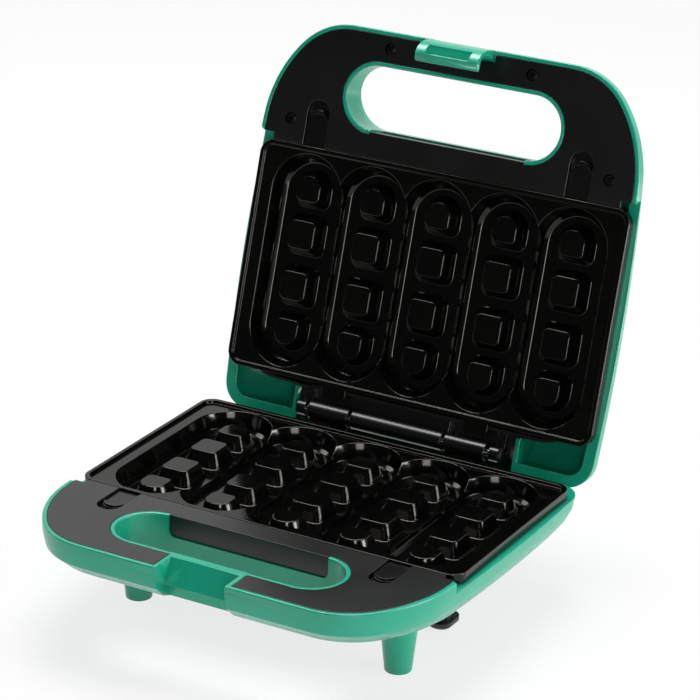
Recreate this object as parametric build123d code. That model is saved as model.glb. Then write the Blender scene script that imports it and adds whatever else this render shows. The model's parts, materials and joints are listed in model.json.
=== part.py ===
"""Cake pop maker: a countertop cooker with two hinged halves, each with a five-pocket non-stick plate.

Millimetres, +Z up, +X to the right and +Y to the rear. Both halves are drawn the same way: as the
closed upper half, with the plate's centre at the origin, the plates' meeting plane at z = 0 and z
growing away from it. The lower half is that drawing turned over. The lid is then swung open about
the hinge, and everything is moved so that the origin is under the middle of the open cooker.
"""

import os
from math import asin, cos, degrees, radians, sin, tan
from types import SimpleNamespace

from build123d import *

# ---------------------------------------------------------------- driving dimensions
# Cooking plate
PLATE_WIDTH = 223.1
PLATE_LENGTH = 126.4
PLATE_CORNER = 8.0
PLATE_RIM_WIDTH = 2.6
PLATE_FACE = 1.7
PLATE_SHEET = 1.0
PLATE_SKIRT = 5.4
SKIRT_THICKNESS = 1.8
POCKETS = 5
POCKET_SIDE_MARGIN = 10.05
POCKET_END_MARGIN = 4.2
POCKET_OVERLAP = 1.5
POCKET_DEPTH = 10.5
POCKET_DRAFT = 14.0
POCKET_FLOOR_CHAMFER = 2.0
STUD_TOP = 15.5
STUD_CORNER = 3.0
STUD_DRAFT = 22.0
STUD_SHY = 2.3
STUD_LEAD = 2.7
END_STUD_TOP = 14.0
END_STUD_MARGIN = 19.1
TAB_CENTRE = 43.5
TAB_WIDTH = 15.0
TAB_REACH = 7.5
TAB_ROUND = 4.0
TAB_THICKNESS = 1.5
POCKET_PITCH = (PLATE_WIDTH - 2 * POCKET_SIDE_MARGIN - 2 * POCKET_OVERLAP) / POCKETS
POCKET_RADIUS = POCKET_PITCH / 2 + POCKET_OVERLAP
POCKET_END = PLATE_LENGTH / 2 - POCKET_END_MARGIN
END_STUD_CENTRE = POCKET_END - END_STUD_MARGIN
STUD_CENTRE = (END_STUD_CENTRE + STUD_LEAD) / 3

# Plan of both halves, set off from the plate
SIDE_MARGIN = 3.75
HANDLE_SET_BACK = 15.1
HANDLE_HOLE_WIDTH = 34.7
HANDLE_BAR_WIDTH = 19.3
DECK_END_MARGIN = 3.8
BASE_REAR_MARGIN = 11.3
LID_REAR_MARGIN = 23.8
NOSE_RADIUS = 40.0
NOSE_TURN = 50.0
SHOULDER_RADIUS = 72.0
SHOULDER_TURN = 36.4
SIDE_BOW_RADIUS = 1200.0
REAR_CORNER_RADIUS = 15.0
HALF_WIDTH = PLATE_WIDTH / 2 + SIDE_MARGIN
HANDLE_BACK = PLATE_LENGTH / 2 + HANDLE_SET_BACK
HANDLE_FRONT = HANDLE_BACK + HANDLE_HOLE_WIDTH
FRONT_REACH = HANDLE_FRONT + HANDLE_BAR_WIDTH
DECK_END = PLATE_LENGTH / 2 + DECK_END_MARGIN
BASE_REAR_REACH = PLATE_LENGTH / 2 + BASE_REAR_MARGIN
LID_REAR_REACH = PLATE_LENGTH / 2 + LID_REAR_MARGIN

# Moulded shells
WALL = 2.3
HALVES_GAP = 0.4
LIP_LEVEL = 5.7
LIP_WIDTH = 6.5
RIM_ROUND = 0.8
DECK_END_ROUND = 2.5
BASE_CROWN_ROOM = 23.0
LID_CROWN_ROOM = 16.0
BELLY_SIDE_INSET = 64.7
BELLY_REAR_INSET = 40.0
BELLY_CORNER_GROWTH = 20.0
BELLY_TURNS = [0, 10, 20, 31, 44, 60, 84]
CROWN_TURN = 84.0
BASE_KEEL_SET_BACK = 19.0
BASE_KEEL_BLUNTNESS = 1.5
BASE_CORNER_POWER = 1.0
LID_KEEL_SET_BACK = 9.0
LID_KEEL_BLUNTNESS = 0.68
LID_CORNER_POWER = 4.0
FAR = 250.0

# Handle hole
HANDLE_HALF_LENGTH = 64.1
HANDLE_EDGE_ROUND = 1.0
APRON_HALF_WIDTH = 46.5
APRON_DEPTH = 11.5
APRON_SET_BACK = 1.0
APRON_CORNER = 3.5

# Inner frame
FRAME_WALL = 2.0
DECK_THICKNESS = 2.3
FIT_GAP = 0.2
MOVING_GAP = 0.3
WELL_SIDE_INSET = 6.75
WELL_END_GAP = 3.1
WELL_CORNER = 24.0
WELL_DRAFT = 12.0
WELL_TOP = 3.0
LEDGE_WIDTH = 5.0
LEDGE_THICKNESS = 2.0
WELL_HALF_WIDTH = PLATE_WIDTH / 2 - WELL_SIDE_INSET
WELL_HALF_LENGTH = PLATE_LENGTH / 2 + WELL_END_GAP
BASE_KEEL_REACH = FRONT_REACH - WELL_HALF_LENGTH + BASE_KEEL_SET_BACK
LID_KEEL_REACH = FRONT_REACH - WELL_HALF_LENGTH + LID_KEEL_SET_BACK

# Heating
ELEMENT_RADIUS = 3.25
ELEMENT_CLEARANCE = 1.05
ELEMENT_SIDE_INSET = 16.8
ELEMENT_END_INSET = 22.3
ELEMENT_BEND = 16.0
TERMINAL_BEND = 9.0
TERMINAL_SPACING = 26.0
TERMINAL_DROP = 12.5
REFLECTOR_SHEET = 0.8
REFLECTOR_DROP = 4.5
REFLECTOR_SIDE_INSET = 10.8
REFLECTOR_END_INSET = 12.3
REFLECTOR_CORNER = 25.0
CLIP_WIDTH = 6.0
CLIP_LENGTH = 11.0
CLIP_BEND_GAP = 6.0
ELEMENT_LEVEL = PLATE_FACE + POCKET_DEPTH + PLATE_SHEET + ELEMENT_CLEARANCE + ELEMENT_RADIUS
ELEMENT_HALF_WIDTH = WELL_HALF_WIDTH - ELEMENT_SIDE_INSET
ELEMENT_HALF_LENGTH = WELL_HALF_LENGTH - ELEMENT_END_INSET
CLIP_OFFSET = ELEMENT_HALF_LENGTH - ELEMENT_BEND - CLIP_BEND_GAP
REFLECTOR_FLOOR = ELEMENT_LEVEL + REFLECTOR_DROP
REFLECTOR_HALF_WIDTH = WELL_HALF_WIDTH - REFLECTOR_SIDE_INSET
REFLECTOR_HALF_LENGTH = WELL_HALF_LENGTH - REFLECTOR_END_INSET
WELL_DEPTH = REFLECTOR_FLOOR - 1.0
BASE_DEPTH = WELL_DEPTH + BASE_CROWN_ROOM
LID_DEPTH = WELL_DEPTH + LID_CROWN_ROOM

# Hinge
HINGE_MARGIN = 14.4
KNUCKLE_RADIUS = 5.0
KNUCKLE_HALF_SPAN = 54.0
KNUCKLE_SPLIT = 28.6
KNUCKLE_GAP = 2.0
LUG_RADIUS = 4.0
LUG_SINK = 0.5
LUG_GAP = 2.5
LUG_WIDTH = 5.0
HINGE_PIN_RADIUS = 2.0
PIN_CLEARANCE = 0.05
HINGE_RELIEF_MARGIN = 3.0
HINGE_RELIEF_LEVEL = 9.0
OPEN_ANGLE = 106.8
LID_RIB_X = 68.0
LID_WEB_LEVEL = 8.0
HINGE_REACH = PLATE_LENGTH / 2 + HINGE_MARGIN
LUG_START = KNUCKLE_HALF_SPAN + LUG_GAP
LUG_END = LUG_START + LUG_WIDTH
LID_WEB_HALF_WIDTH = LID_RIB_X - 1.5

# Release slides
BUTTON_INSET = 32.25
BUTTON_SLOT_WIDTH = 13.4
BUTTON_SLOT_MARGIN = 25.8
BUTTON_TRAVEL = 4.0
BUTTON_SUNK = 1.3
BUTTON_RIDGE_SUNK = 0.1
BUTTON_FLANGE = 2.0
BUTTON_TONGUE_HALF_WIDTH = 4.5
BUTTON_BOX_FLOOR = 5.2
SPRING_SHEET = 0.4
SPRING_HALF_LENGTH = 7.0
SPRING_BOW = 1.9
FLANGE_LEAD = 0.5
BUTTON_CENTRE = PLATE_WIDTH / 2 - BUTTON_INSET
BUTTON_SLOT_END = PLATE_LENGTH / 2 + BUTTON_SLOT_MARGIN
BUTTON_END = BUTTON_SLOT_END - BUTTON_TRAVEL - 0.8
FLANGE_END = BUTTON_SLOT_END + FLANGE_LEAD
SPRING_CREST = FLANGE_END + BUTTON_TRAVEL + MOVING_GAP
BUTTON_BOX_END = SPRING_CREST + SPRING_BOW + FIT_GAP

# Latch
LATCH_HALF_WIDTH = 18.5
LATCH_PLAY = 1.4
LATCH_CLEARANCE = 0.8
LATCH_RECESS = 2.2
NOTCH_LENGTH = 14.3
CATCH_LENGTH = 7.8
CATCH_DEPTH = 12.5
LATCH_PIVOT_MARGIN = 5.9
LATCH_PIVOT_LEVEL = 5.0
LATCH_PIN_RADIUS = 1.5
LATCH_BARREL_RADIUS = 3.2
NOTCH_HALF_WIDTH = LATCH_HALF_WIDTH + LATCH_PLAY
NOTCH_BACK = FRONT_REACH - NOTCH_LENGTH
CATCH_REACH = FRONT_REACH - CATCH_LENGTH
LATCH_PIVOT_REACH = FRONT_REACH - LATCH_PIVOT_MARGIN
LID_NOTCH_BACK = LATCH_PIVOT_REACH - LATCH_BARREL_RADIUS - LATCH_CLEARANCE

# Feet, cleats and fixings
LEG_LENGTH = 18.0
FRONT_FOOT = (77.2, -59.1)
REAR_FOOT = (62.0, 60.0)
FOOT_RADIUS = 7.0
FOOT_DRAFT = 6.0
PAD_RADIUS = 5.0
PAD_STANDS_OUT = 0.5
PAD_THICKNESS = 2.0
CLEAT = (74.0, -5.0)
CLEAT_STEM_RADIUS = 4.5
CLEAT_STEM_LENGTH = 13.3
CLEAT_CAP_THICKNESS = 3.3
SCREW_RADIUS = 1.5
SCREW_HEAD_RADIUS = 3.0
SCREW_HEAD_THICKNESS = 1.3
SCREW_LENGTH = 9.0
BOSS_RADIUS = 4.2
LID_SCREWS = [(42.5, 9.3 - FRONT_REACH), (HALF_WIDTH - 19.3, 1.8 - HANDLE_BACK)]
BASE_SCREW = (WELL_HALF_WIDTH - 11.8, WELL_HALF_LENGTH - 12.3)
BASE_SCREWS = [(BASE_SCREW[0], -BASE_SCREW[1]), BASE_SCREW]
LAMP_CENTRE = (9.0, -30.0)
LAMP_RADIUS = 3.5
TERMINAL_REAR_INSET = 36.5
TERMINAL_SET_IN = 4.2
INLET_DEPTH = 24.0
INLET_SET_IN = 1.3
INLET_RADIUS = 5.0
INLET_BORE_RADIUS = 3.5
FLOOR_DEPTH = BASE_DEPTH + LEG_LENGTH
CLEAT_SEAT = BASE_DEPTH - 0.8
CLEAT_CAP_LEVEL = CLEAT_SEAT + CLEAT_STEM_LENGTH
CLEAT_END = CLEAT_CAP_LEVEL + CLEAT_CAP_THICKNESS
TERMINAL_Y = BASE_REAR_REACH - TERMINAL_REAR_INSET
TERMINAL_SEAT = BASE_DEPTH - TERMINAL_SET_IN
INLET_SEAT = BASE_REAR_REACH - INLET_SET_IN

BASE = SimpleNamespace(
    depth=BASE_DEPTH,
    rear=BASE_REAR_REACH,
    keel_reach=BASE_KEEL_REACH,
    bluntness=BASE_KEEL_BLUNTNESS,
    corner_power=BASE_CORNER_POWER,
    notch_wall=HANDLE_FRONT,
    notch_level=0,
    deck_notch=(NOTCH_HALF_WIDTH + WALL + FIT_GAP, HANDLE_FRONT),
)
LID = SimpleNamespace(
    depth=LID_DEPTH,
    rear=LID_REAR_REACH,
    keel_reach=LID_KEEL_REACH,
    bluntness=LID_KEEL_BLUNTNESS,
    corner_power=LID_CORNER_POWER,
    notch_wall=LID_NOTCH_BACK - WALL,
    notch_level=DECK_THICKNESS + MOVING_GAP,
    deck_notch=(NOTCH_HALF_WIDTH + FIT_GAP, LID_NOTCH_BACK - FIT_GAP),
)


# ---------------------------------------------------------------- small helpers
def block(x, y, z):
    """A box between two corners, each axis given as (low, high)."""
    middle = [(low + high) / 2 for low, high in (x, y, z)]
    return Pos(*middle) * Box(x[1] - x[0], y[1] - y[0], z[1] - z[0])


def prism(face, low, high, draft=0.0):
    """A flat outline standing from one level up to another, leaning inwards by the draft angle."""
    return extrude(Pos(0, 0, low) * face, high - low, taper=draft)


def post(x, y, radius, low, high):
    """A round post at (x, y)."""
    return Pos(x, y, (low + high) / 2) * Cylinder(radius, high - low)


def rod(radius, y, z, left, right):
    """A round bar lying along X."""
    return Pos((left + right) / 2, y, z) * Rot(0, 90, 0) * Cylinder(radius, right - left)


def across(points, left, right):
    """A (y, z) outline carried from one x to another."""
    outline = make_face(Polyline(*[(left, y, z) for y, z in points], close=True))
    return extrude(outline, right - left, dir=(1, 0, 0))


def both_sides(solid):
    """The solid and its mirror image, left to right."""
    return solid + mirror(solid, Plane.YZ)


def mirrored_points(points):
    """Points on the right and their twins on the left."""
    return [(side * x, y) for x, y in points for side in (-1, 1)]


# ---------------------------------------------------------------- plan and belly
def plan(half_width, front, rear, scale=1.0, rear_radius=REAR_CORNER_RADIUS):
    """The plan seen from above: straight nose, two arcs a side, bowed sides, round rear corners."""
    nose, shoulder = NOSE_RADIUS * scale, SHOULDER_RADIUS * scale
    bow = SIDE_BOW_RADIUS * half_width / HALF_WIDTH
    first, second = radians(NOSE_TURN), radians(NOSE_TURN + SHOULDER_TURN)
    corner_width = nose * sin(first) + shoulder * (sin(second) - sin(first)) + bow * (1 - sin(second))
    corner_length = nose * (1 - cos(first)) + shoulder * (cos(first) - cos(second)) + bow * cos(second)
    widest = corner_length - front
    lean = degrees(asin((rear - rear_radius - widest) / (bow - rear_radius)))
    front_edge = Line((0, -front), (half_width - corner_width, -front))
    nose_arc = JernArc(front_edge @ 1, (1, 0), nose, NOSE_TURN)
    shoulder_arc = JernArc(nose_arc @ 1, nose_arc % 1, shoulder, SHOULDER_TURN)
    side = JernArc(shoulder_arc @ 1, shoulder_arc % 1, bow, 90 - NOSE_TURN - SHOULDER_TURN + lean)
    corner = JernArc(side @ 1, side % 1, rear_radius, 90 - lean)
    rear_edge = Line(corner @ 1, (0, rear))
    half = Curve() + [front_edge, nose_arc, shoulder_arc, side, corner, rear_edge]
    return make_face(half + mirror(half, Plane.YZ))


def rim_outline(half, inset=0.0):
    """The outline of one half at its rim, moved inwards."""
    outline = plan(HALF_WIDTH, FRONT_REACH, half.rear)
    if inset:
        outline = offset(outline, -inset)
    return outline


def belly(half, wall=0.0):
    """The rounded body beyond the side lip, lofted through plans that shrink towards the crown."""
    rise = (half.depth - LIP_LEVEL) / sin(radians(CROWN_TURN))
    sections = []
    for turn in BELLY_TURNS:
        steep, flat = cos(radians(turn)), sin(radians(turn))
        half_width = HALF_WIDTH - BELLY_SIDE_INSET * (1 - steep) - wall * steep
        rear = half.rear - BELLY_REAR_INSET * (1 - steep) - wall * steep
        front = FRONT_REACH - half.keel_reach * sin(radians(90) * flat**half.bluntness) ** 2 - 1.5 * wall
        scale = (half_width / HALF_WIDTH) ** half.corner_power
        corner = REAR_CORNER_RADIUS + BELLY_CORNER_GROWTH * (1 - steep)
        outline = plan(half_width, front, rear, scale, corner)
        sections.append(Pos(0, 0, LIP_LEVEL + (rise - wall) * flat) * outline)
    return loft(sections, ruled=True)


# ---------------------------------------------------------------- openings shared by several pieces
def handle_hole(grow=0.0):
    """The long round-ended hole behind the handle bar."""
    length = 2 * (HANDLE_HALF_LENGTH + grow)
    height = HANDLE_FRONT - HANDLE_BACK + 2 * grow
    return Pos(0, -(HANDLE_FRONT + HANDLE_BACK) / 2) * SlotOverall(length, height)


def apron_outline(grow=0.0):
    """The apron's outline on the hole's rear wall, round at its two deep corners, as a bar along Y."""
    face = RectangleRounded(2 * (APRON_HALF_WIDTH + grow), 2 * (APRON_DEPTH + grow), APRON_CORNER + grow)
    bar = extrude(Plane.XZ * face, HALF_WIDTH)
    return bar & block((-HALF_WIDTH, HALF_WIDTH), (-HALF_WIDTH, 0), (0, HALF_WIDTH))


def well(level, depth, inset=0.0):
    """The drafted tub that the plate sits over, from one level down to another."""
    start_inset = inset + (level - WELL_TOP) * tan(radians(WELL_DRAFT))
    width = 2 * (WELL_HALF_WIDTH - start_inset)
    length = 2 * (WELL_HALF_LENGTH - start_inset)
    face = RectangleRounded(width, length, WELL_CORNER - inset)
    return prism(face, level, depth, WELL_DRAFT)


def button_slot(grow=0.0):
    """The round-ended slots in the deck that the two release buttons run in."""
    radius = BUTTON_SLOT_WIDTH / 2 + grow
    centre = -BUTTON_SLOT_END + BUTTON_SLOT_WIDTH / 2
    slot = Pos(BUTTON_CENTRE, centre) * Circle(radius)
    slot += Pos(BUTTON_CENTRE, (centre - PLATE_LENGTH / 2) / 2) * Rectangle(2 * radius, -PLATE_LENGTH / 2 - centre)
    return slot


# ---------------------------------------------------------------- shells
def shell(half, seats):
    """The moulded outer shell: body, side lip, front rim, handle tube, deck seat and fixing posts."""
    front_zone = block((-FAR, FAR), (-FAR, -DECK_END), (-1, 100))
    rim = prism(rim_outline(half), 0, LIP_LEVEL)
    rim = fillet(rim.edges().group_by(Axis.Z)[0], RIM_ROUND) & front_zone
    rim_end = rim.edges().filter_by(Axis.X).group_by(Axis.Z)[0].sort_by(Axis.Y)[-1:]
    rim = fillet(rim_end, DECK_END_ROUND)
    outer = belly(half) + rim
    hollow = belly(half, WALL)
    inner_rim = prism(rim_outline(half, WALL), -1, LIP_LEVEL + WALL)
    hollow_front = hollow + (inner_rim & front_zone)
    body = outer - hollow_front

    lip = prism(rim_outline(half, WALL / 2), LIP_LEVEL, LIP_LEVEL + WALL)
    lip -= prism(rim_outline(half, LIP_WIDTH), 0, 2 * LIP_LEVEL + WALL)
    body += lip & block((-FAR, FAR), (-DECK_END - LIP_WIDTH / 2, FAR), (0, 100))
    seat = prism(rim_outline(half, WALL / 2), DECK_THICKNESS + MOVING_GAP, 2 * DECK_THICKNESS + MOVING_GAP)
    seat -= prism(rim_outline(half, WALL + 1.5), 0, 3 * DECK_THICKNESS)
    body += seat & front_zone

    notch_x = (-NOTCH_HALF_WIDTH - WALL, NOTCH_HALF_WIDTH + WALL)
    tube = prism(handle_hole(WALL), 0, half.depth) - prism(handle_hole(), -1, half.depth + 1)
    tube = fillet(tube.edges().group_by(Axis.Z)[0].sort_by(SortBy.LENGTH)[:2], HANDLE_EDGE_ROUND)
    inside = tube + block(notch_x, (-FAR, -half.notch_wall), (half.notch_level, half.depth))
    for x, y in mirrored_points(seats.bosses):
        inside += post(x, y, BOSS_RADIUS, seats.boss_level, half.depth)
    for x in seats.ribs:
        inside += both_sides(block((x - WALL / 2, x + WALL / 2), (WELL_HALF_LENGTH + 1, half.rear), seats.rib_levels))
    body += inside & outer
    return body - prism(handle_hole(), -1, half.depth)


def base_shell():
    """The lower shell, drawn upside down: legs, catch, hinge relief and cord inlet."""
    seats = SimpleNamespace(bosses=BASE_SCREWS, boss_level=WELL_DEPTH + FIT_GAP, ribs=[], rib_levels=(0, 1))
    body = shell(BASE, seats)
    hollow = belly(BASE, WALL)
    for x, y in mirrored_points([FRONT_FOOT, REAR_FOOT]):
        height = FLOOR_DEPTH - PAD_STANDS_OUT - 2 * LIP_LEVEL
        grown = FOOT_RADIUS + height * tan(radians(FOOT_DRAFT))
        leg = Pos(x, y, 2 * LIP_LEVEL + height / 2) * Cone(grown, FOOT_RADIUS, height)
        body += leg - hollow
        body -= post(x, y, PAD_RADIUS + FIT_GAP / 2, FLOOR_DEPTH - PAD_THICKNESS, FLOOR_DEPTH)
    catch = [
        (-FAR, -1),
        (-NOTCH_BACK, -1),
        (-NOTCH_BACK, 0),
        (-CATCH_REACH, CATCH_DEPTH),
        (-NOTCH_BACK, CATCH_DEPTH),
        (-NOTCH_BACK, BASE_DEPTH),
        (-FAR, BASE_DEPTH),
    ]
    body -= across(catch, -NOTCH_HALF_WIDTH, NOTCH_HALF_WIDTH)
    relief = LUG_END + HINGE_RELIEF_MARGIN
    body -= block((-relief, relief), (WELL_HALF_LENGTH + 1, FAR), (-1, HINGE_RELIEF_LEVEL))
    for x, y in mirrored_points([CLEAT]):
        collar = post(x, y, CLEAT_STEM_RADIUS + 1, 2 * LIP_LEVEL, CLEAT_SEAT) - hollow
        body += collar
        body -= post(x, y, CLEAT_STEM_RADIUS, CLEAT_SEAT, FLOOR_DEPTH)
        body -= post(x, y, SCREW_HEAD_RADIUS, WELL_DEPTH, CLEAT_SEAT + 1)
    for x, y in mirrored_points(BASE_SCREWS):
        head_level = WELL_DEPTH + FIT_GAP + SCREW_LENGTH - SCREW_HEAD_THICKNESS
        body -= post(x, y, SCREW_HEAD_RADIUS + FIT_GAP, head_level, BASE_DEPTH)
        body -= post(x, y, SCREW_RADIUS, WELL_DEPTH, head_level + 1)
    inlet = Pos(0, INLET_SEAT - 5, INLET_DEPTH) * Rot(90, 0, 0)
    body += inlet * Cylinder(INLET_RADIUS + WALL, 10) - hollow
    body -= inlet * Cylinder(INLET_RADIUS + FIT_GAP / 2, 30)
    body += block((-11, 11), (TERMINAL_Y - 4, TERMINAL_Y + 4), (TERMINAL_SEAT, BASE_DEPTH)) & belly(BASE)
    window = apron_outline(FIT_GAP) & block((-FAR, FAR), (-HANDLE_BACK - 0.5, -HANDLE_BACK + WALL + 0.5), (-1, 50))
    return body - window


def lid_shell():
    """The upper shell: latch notch with pin holes, side ribs behind the plate and the lamp holes."""
    seats = SimpleNamespace(
        bosses=LID_SCREWS,
        boss_level=DECK_THICKNESS + MOVING_GAP,
        ribs=[LID_RIB_X],
        rib_levels=(LIP_LEVEL, LID_DEPTH),
    )
    body = shell(LID, seats)
    notch = block((-NOTCH_HALF_WIDTH, NOTCH_HALF_WIDTH), (-FAR, -LID_NOTCH_BACK), (-1, LID_DEPTH))
    body -= notch
    relief = LID_WEB_HALF_WIDTH + FIT_GAP
    body -= block((-relief, relief), (WELL_HALF_LENGTH + 1, FAR), (-1, LID_WEB_LEVEL + FRAME_WALL + FIT_GAP))
    body -= rod(LATCH_PIN_RADIUS, -LATCH_PIVOT_REACH, LATCH_PIVOT_LEVEL, -NOTCH_HALF_WIDTH - 2, NOTCH_HALF_WIDTH + 2)
    for x, y in mirrored_points(LID_SCREWS):
        body -= post(x, y, SCREW_RADIUS, 0, DECK_THICKNESS + MOVING_GAP + 3)
    for x, y in mirrored_points([LAMP_CENTRE]):
        body -= post(x, y, LAMP_RADIUS + FIT_GAP / 2, LID_DEPTH - 5, LID_DEPTH + 1)
    window = apron_outline(FIT_GAP) & block((-FAR, FAR), (-HANDLE_BACK - 0.5, -HANDLE_BACK + WALL + 0.5), (-1, 50))
    return body - window


# ---------------------------------------------------------------- inner frames
def frame(half, screws, screw_side):
    """The black inner moulding: deck round the handle hole, tub wall with ledge, apron and button boxes."""
    inset = WALL + FIT_GAP
    deck = prism(rim_outline(half, inset), 0, DECK_THICKNESS)
    deck &= block((-FAR, FAR), (-FAR, -PLATE_LENGTH / 2 - 2 * FIT_GAP), (-1, 10))
    deck -= block((WELL_HALF_WIDTH, FAR), (-DECK_END - FIT_GAP, 0), (-1, 10))
    deck -= block((-FAR, -WELL_HALF_WIDTH), (-DECK_END - FIT_GAP, 0), (-1, 10))
    deck -= prism(handle_hole(inset), -1, 10)
    notch_half, notch_reach = half.deck_notch
    deck -= block((-notch_half, notch_half), (-FAR, -notch_reach), (-1, 10))
    apron = apron_outline()
    apron_front = -HANDLE_BACK + APRON_SET_BACK
    apron &= block((-FAR, FAR), (apron_front, apron_front + WALL), (0, 50))
    tub = well(WELL_TOP, WELL_DEPTH) - well(WELL_TOP, WELL_DEPTH - LEDGE_THICKNESS, FRAME_WALL)
    opening_inset = FRAME_WALL + LEDGE_WIDTH
    opening = RectangleRounded(
        2 * (WELL_HALF_WIDTH - opening_inset - 2),
        2 * (WELL_HALF_LENGTH - opening_inset - 2),
        WELL_CORNER + LEDGE_WIDTH + 2,
    )
    tub -= prism(opening, WELL_TOP, WELL_DEPTH + 1)
    skirt_room = RectangleRounded(PLATE_WIDTH + 2 * FIT_GAP, PLATE_LENGTH + 2 * FIT_GAP, PLATE_CORNER)
    room_inset = SKIRT_THICKNESS + FIT_GAP
    skirt_room -= RectangleRounded(
        PLATE_WIDTH - 2 * room_inset,
        PLATE_LENGTH - 2 * room_inset,
        PLATE_CORNER - room_inset,
    )
    tub -= prism(skirt_room, 0, PLATE_SKIRT + FIT_GAP)
    front_wall = block(
        (-WELL_HALF_WIDTH + WELL_CORNER, WELL_HALF_WIDTH - WELL_CORNER),
        (-WELL_HALF_LENGTH, -WELL_HALF_LENGTH + FRAME_WALL),
        (0, WELL_TOP + 1),
    )
    body = deck + tub + front_wall + apron
    box_half = BUTTON_SLOT_WIDTH / 2 + BUTTON_FLANGE + MOVING_GAP
    box_x = (BUTTON_CENTRE - box_half - 1.5, BUTTON_CENTRE + box_half + 1.5)
    box_y = (-BUTTON_BOX_END - 1.5, -WELL_HALF_LENGTH + 0.5)
    box = block(box_x, box_y, (DECK_THICKNESS - 0.5, BUTTON_BOX_FLOOR + 1.5))
    room_x = (BUTTON_CENTRE - box_half, BUTTON_CENTRE + box_half)
    room = block(room_x, (-BUTTON_BOX_END, -PLATE_LENGTH / 2), (DECK_THICKNESS, BUTTON_BOX_FLOOR))
    body += both_sides(box)
    body -= both_sides(room)
    body -= both_sides(prism(button_slot(), -1, DECK_THICKNESS + 0.5))
    tab_slot = block(
        (TAB_CENTRE - TAB_WIDTH / 2 - MOVING_GAP, TAB_CENTRE + TAB_WIDTH / 2 + MOVING_GAP),
        (WELL_HALF_LENGTH - 5, WELL_HALF_LENGTH + 5),
        (0, PLATE_FACE + TAB_THICKNESS + MOVING_GAP),
    )
    body -= both_sides(tab_slot)
    for x, y in mirrored_points(screws):
        if screw_side == "deck":
            body -= post(x, y, SCREW_HEAD_RADIUS + FIT_GAP, -1, DECK_THICKNESS - 0.8)
            body -= post(x, y, SCREW_RADIUS + FIT_GAP / 2, -1, DECK_THICKNESS + 1)
        else:
            body -= post(x, y, SCREW_RADIUS, WELL_DEPTH - LEDGE_THICKNESS, WELL_DEPTH + 1)
    return body


def base_frame():
    """The lower inner frame, with the two outer hinge knuckles on short arms."""
    body = frame(BASE, BASE_SCREWS, "below")
    arm = [
        (WELL_HALF_LENGTH - FRAME_WALL, WELL_TOP + 2),
        (HINGE_REACH - KNUCKLE_RADIUS, WELL_TOP + 1.8),
        (HINGE_REACH, KNUCKLE_RADIUS - 1.5),
        (HINGE_REACH - 3, KNUCKLE_RADIUS),
        (HINGE_REACH - 6, KNUCKLE_RADIUS + 1.4),
        (WELL_HALF_LENGTH - 1, KNUCKLE_RADIUS + 4),
        (WELL_HALF_LENGTH - FRAME_WALL - 1, KNUCKLE_RADIUS + 4),
    ]
    left = KNUCKLE_SPLIT + KNUCKLE_GAP / 2
    knuckle = rod(KNUCKLE_RADIUS, HINGE_REACH, -HALVES_GAP / 2, left, KNUCKLE_HALF_SPAN)
    knuckle += across(arm, left, KNUCKLE_HALF_SPAN)
    body += both_sides(knuckle)
    return body - rod(HINGE_PIN_RADIUS, HINGE_REACH, -HALVES_GAP / 2, -KNUCKLE_HALF_SPAN - 1, KNUCKLE_HALF_SPAN + 1)


def lid_arm(level):
    """The outline of an arm from the lid's tub to the hinge, its underside at the given level there."""
    return [
        (WELL_HALF_LENGTH - 1, WELL_TOP + 2),
        (HINGE_REACH - KNUCKLE_RADIUS, WELL_TOP + 1.5),
        (HINGE_REACH, level),
        (HINGE_REACH, LID_WEB_LEVEL + 1),
        (WELL_HALF_LENGTH - 1, LID_WEB_LEVEL + 1),
    ]


def lid_frame():
    """The upper inner frame: middle hinge knuckle, two outer lugs and the web that closes the lid behind."""
    body = frame(LID, LID_SCREWS, "deck")
    half_span = KNUCKLE_SPLIT - KNUCKLE_GAP / 2
    body += across(lid_arm(KNUCKLE_RADIUS - 1.5), -half_span, half_span)
    body += rod(KNUCKLE_RADIUS, HINGE_REACH, -HALVES_GAP / 2, -half_span, half_span)
    lug = rod(LUG_RADIUS, HINGE_REACH, -HALVES_GAP / 2, LUG_START, LUG_END)
    body += both_sides(lug + across(lid_arm(LUG_RADIUS - LUG_SINK), LUG_START, LUG_END))
    web_end = LID_REAR_REACH - MOVING_GAP
    web = block(
        (-LID_WEB_HALF_WIDTH, LID_WEB_HALF_WIDTH),
        (WELL_HALF_LENGTH - FRAME_WALL, web_end),
        (LID_WEB_LEVEL, LID_WEB_LEVEL + FRAME_WALL),
    )
    body += web - well(WELL_TOP, WELL_DEPTH, FRAME_WALL / 2)
    bore = HINGE_PIN_RADIUS + PIN_CLEARANCE
    return body - rod(bore, HINGE_REACH, -HALVES_GAP / 2, -LUG_END - 1, LUG_END + 1)


# ---------------------------------------------------------------- cooking plates
def pockets(grow=0.0, floor_chamfer=0.0):
    """Five long drafted pockets side by side; grown outwards they give the outside of the casting."""
    row = None
    length = 2 * (POCKET_END + grow)
    start = PLATE_FACE + (PLATE_SHEET if grow else -0.01)
    floor = PLATE_FACE + POCKET_DEPTH + grow
    for number in range(POCKETS):
        x = (number - (POCKETS - 1) / 2) * POCKET_PITCH
        face = Rot(0, 0, 90) * SlotOverall(length, 2 * (POCKET_RADIUS + grow))
        pocket = Pos(x, 0, 0) * prism(face, start, floor, POCKET_DRAFT)
        if floor_chamfer:
            pocket = chamfer(pocket.edges().group_by(Axis.Z)[-1], floor_chamfer)
        row = pocket if row is None else row + pocket
    return row


def stud_outline(width, corner, outward):
    """A stud's outline; the end ones are round on the side that faces the end of the pocket."""
    face = Rectangle(width, width)
    far = width / 2 - 0.3 if outward else corner
    face = fillet(face.vertices().group_by(Axis.Y)[-1], far)
    face = fillet(face.vertices().group_by(Axis.Y)[0], corner)
    return Rot(0, 0, 180) * face if outward < 0 else face


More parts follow.
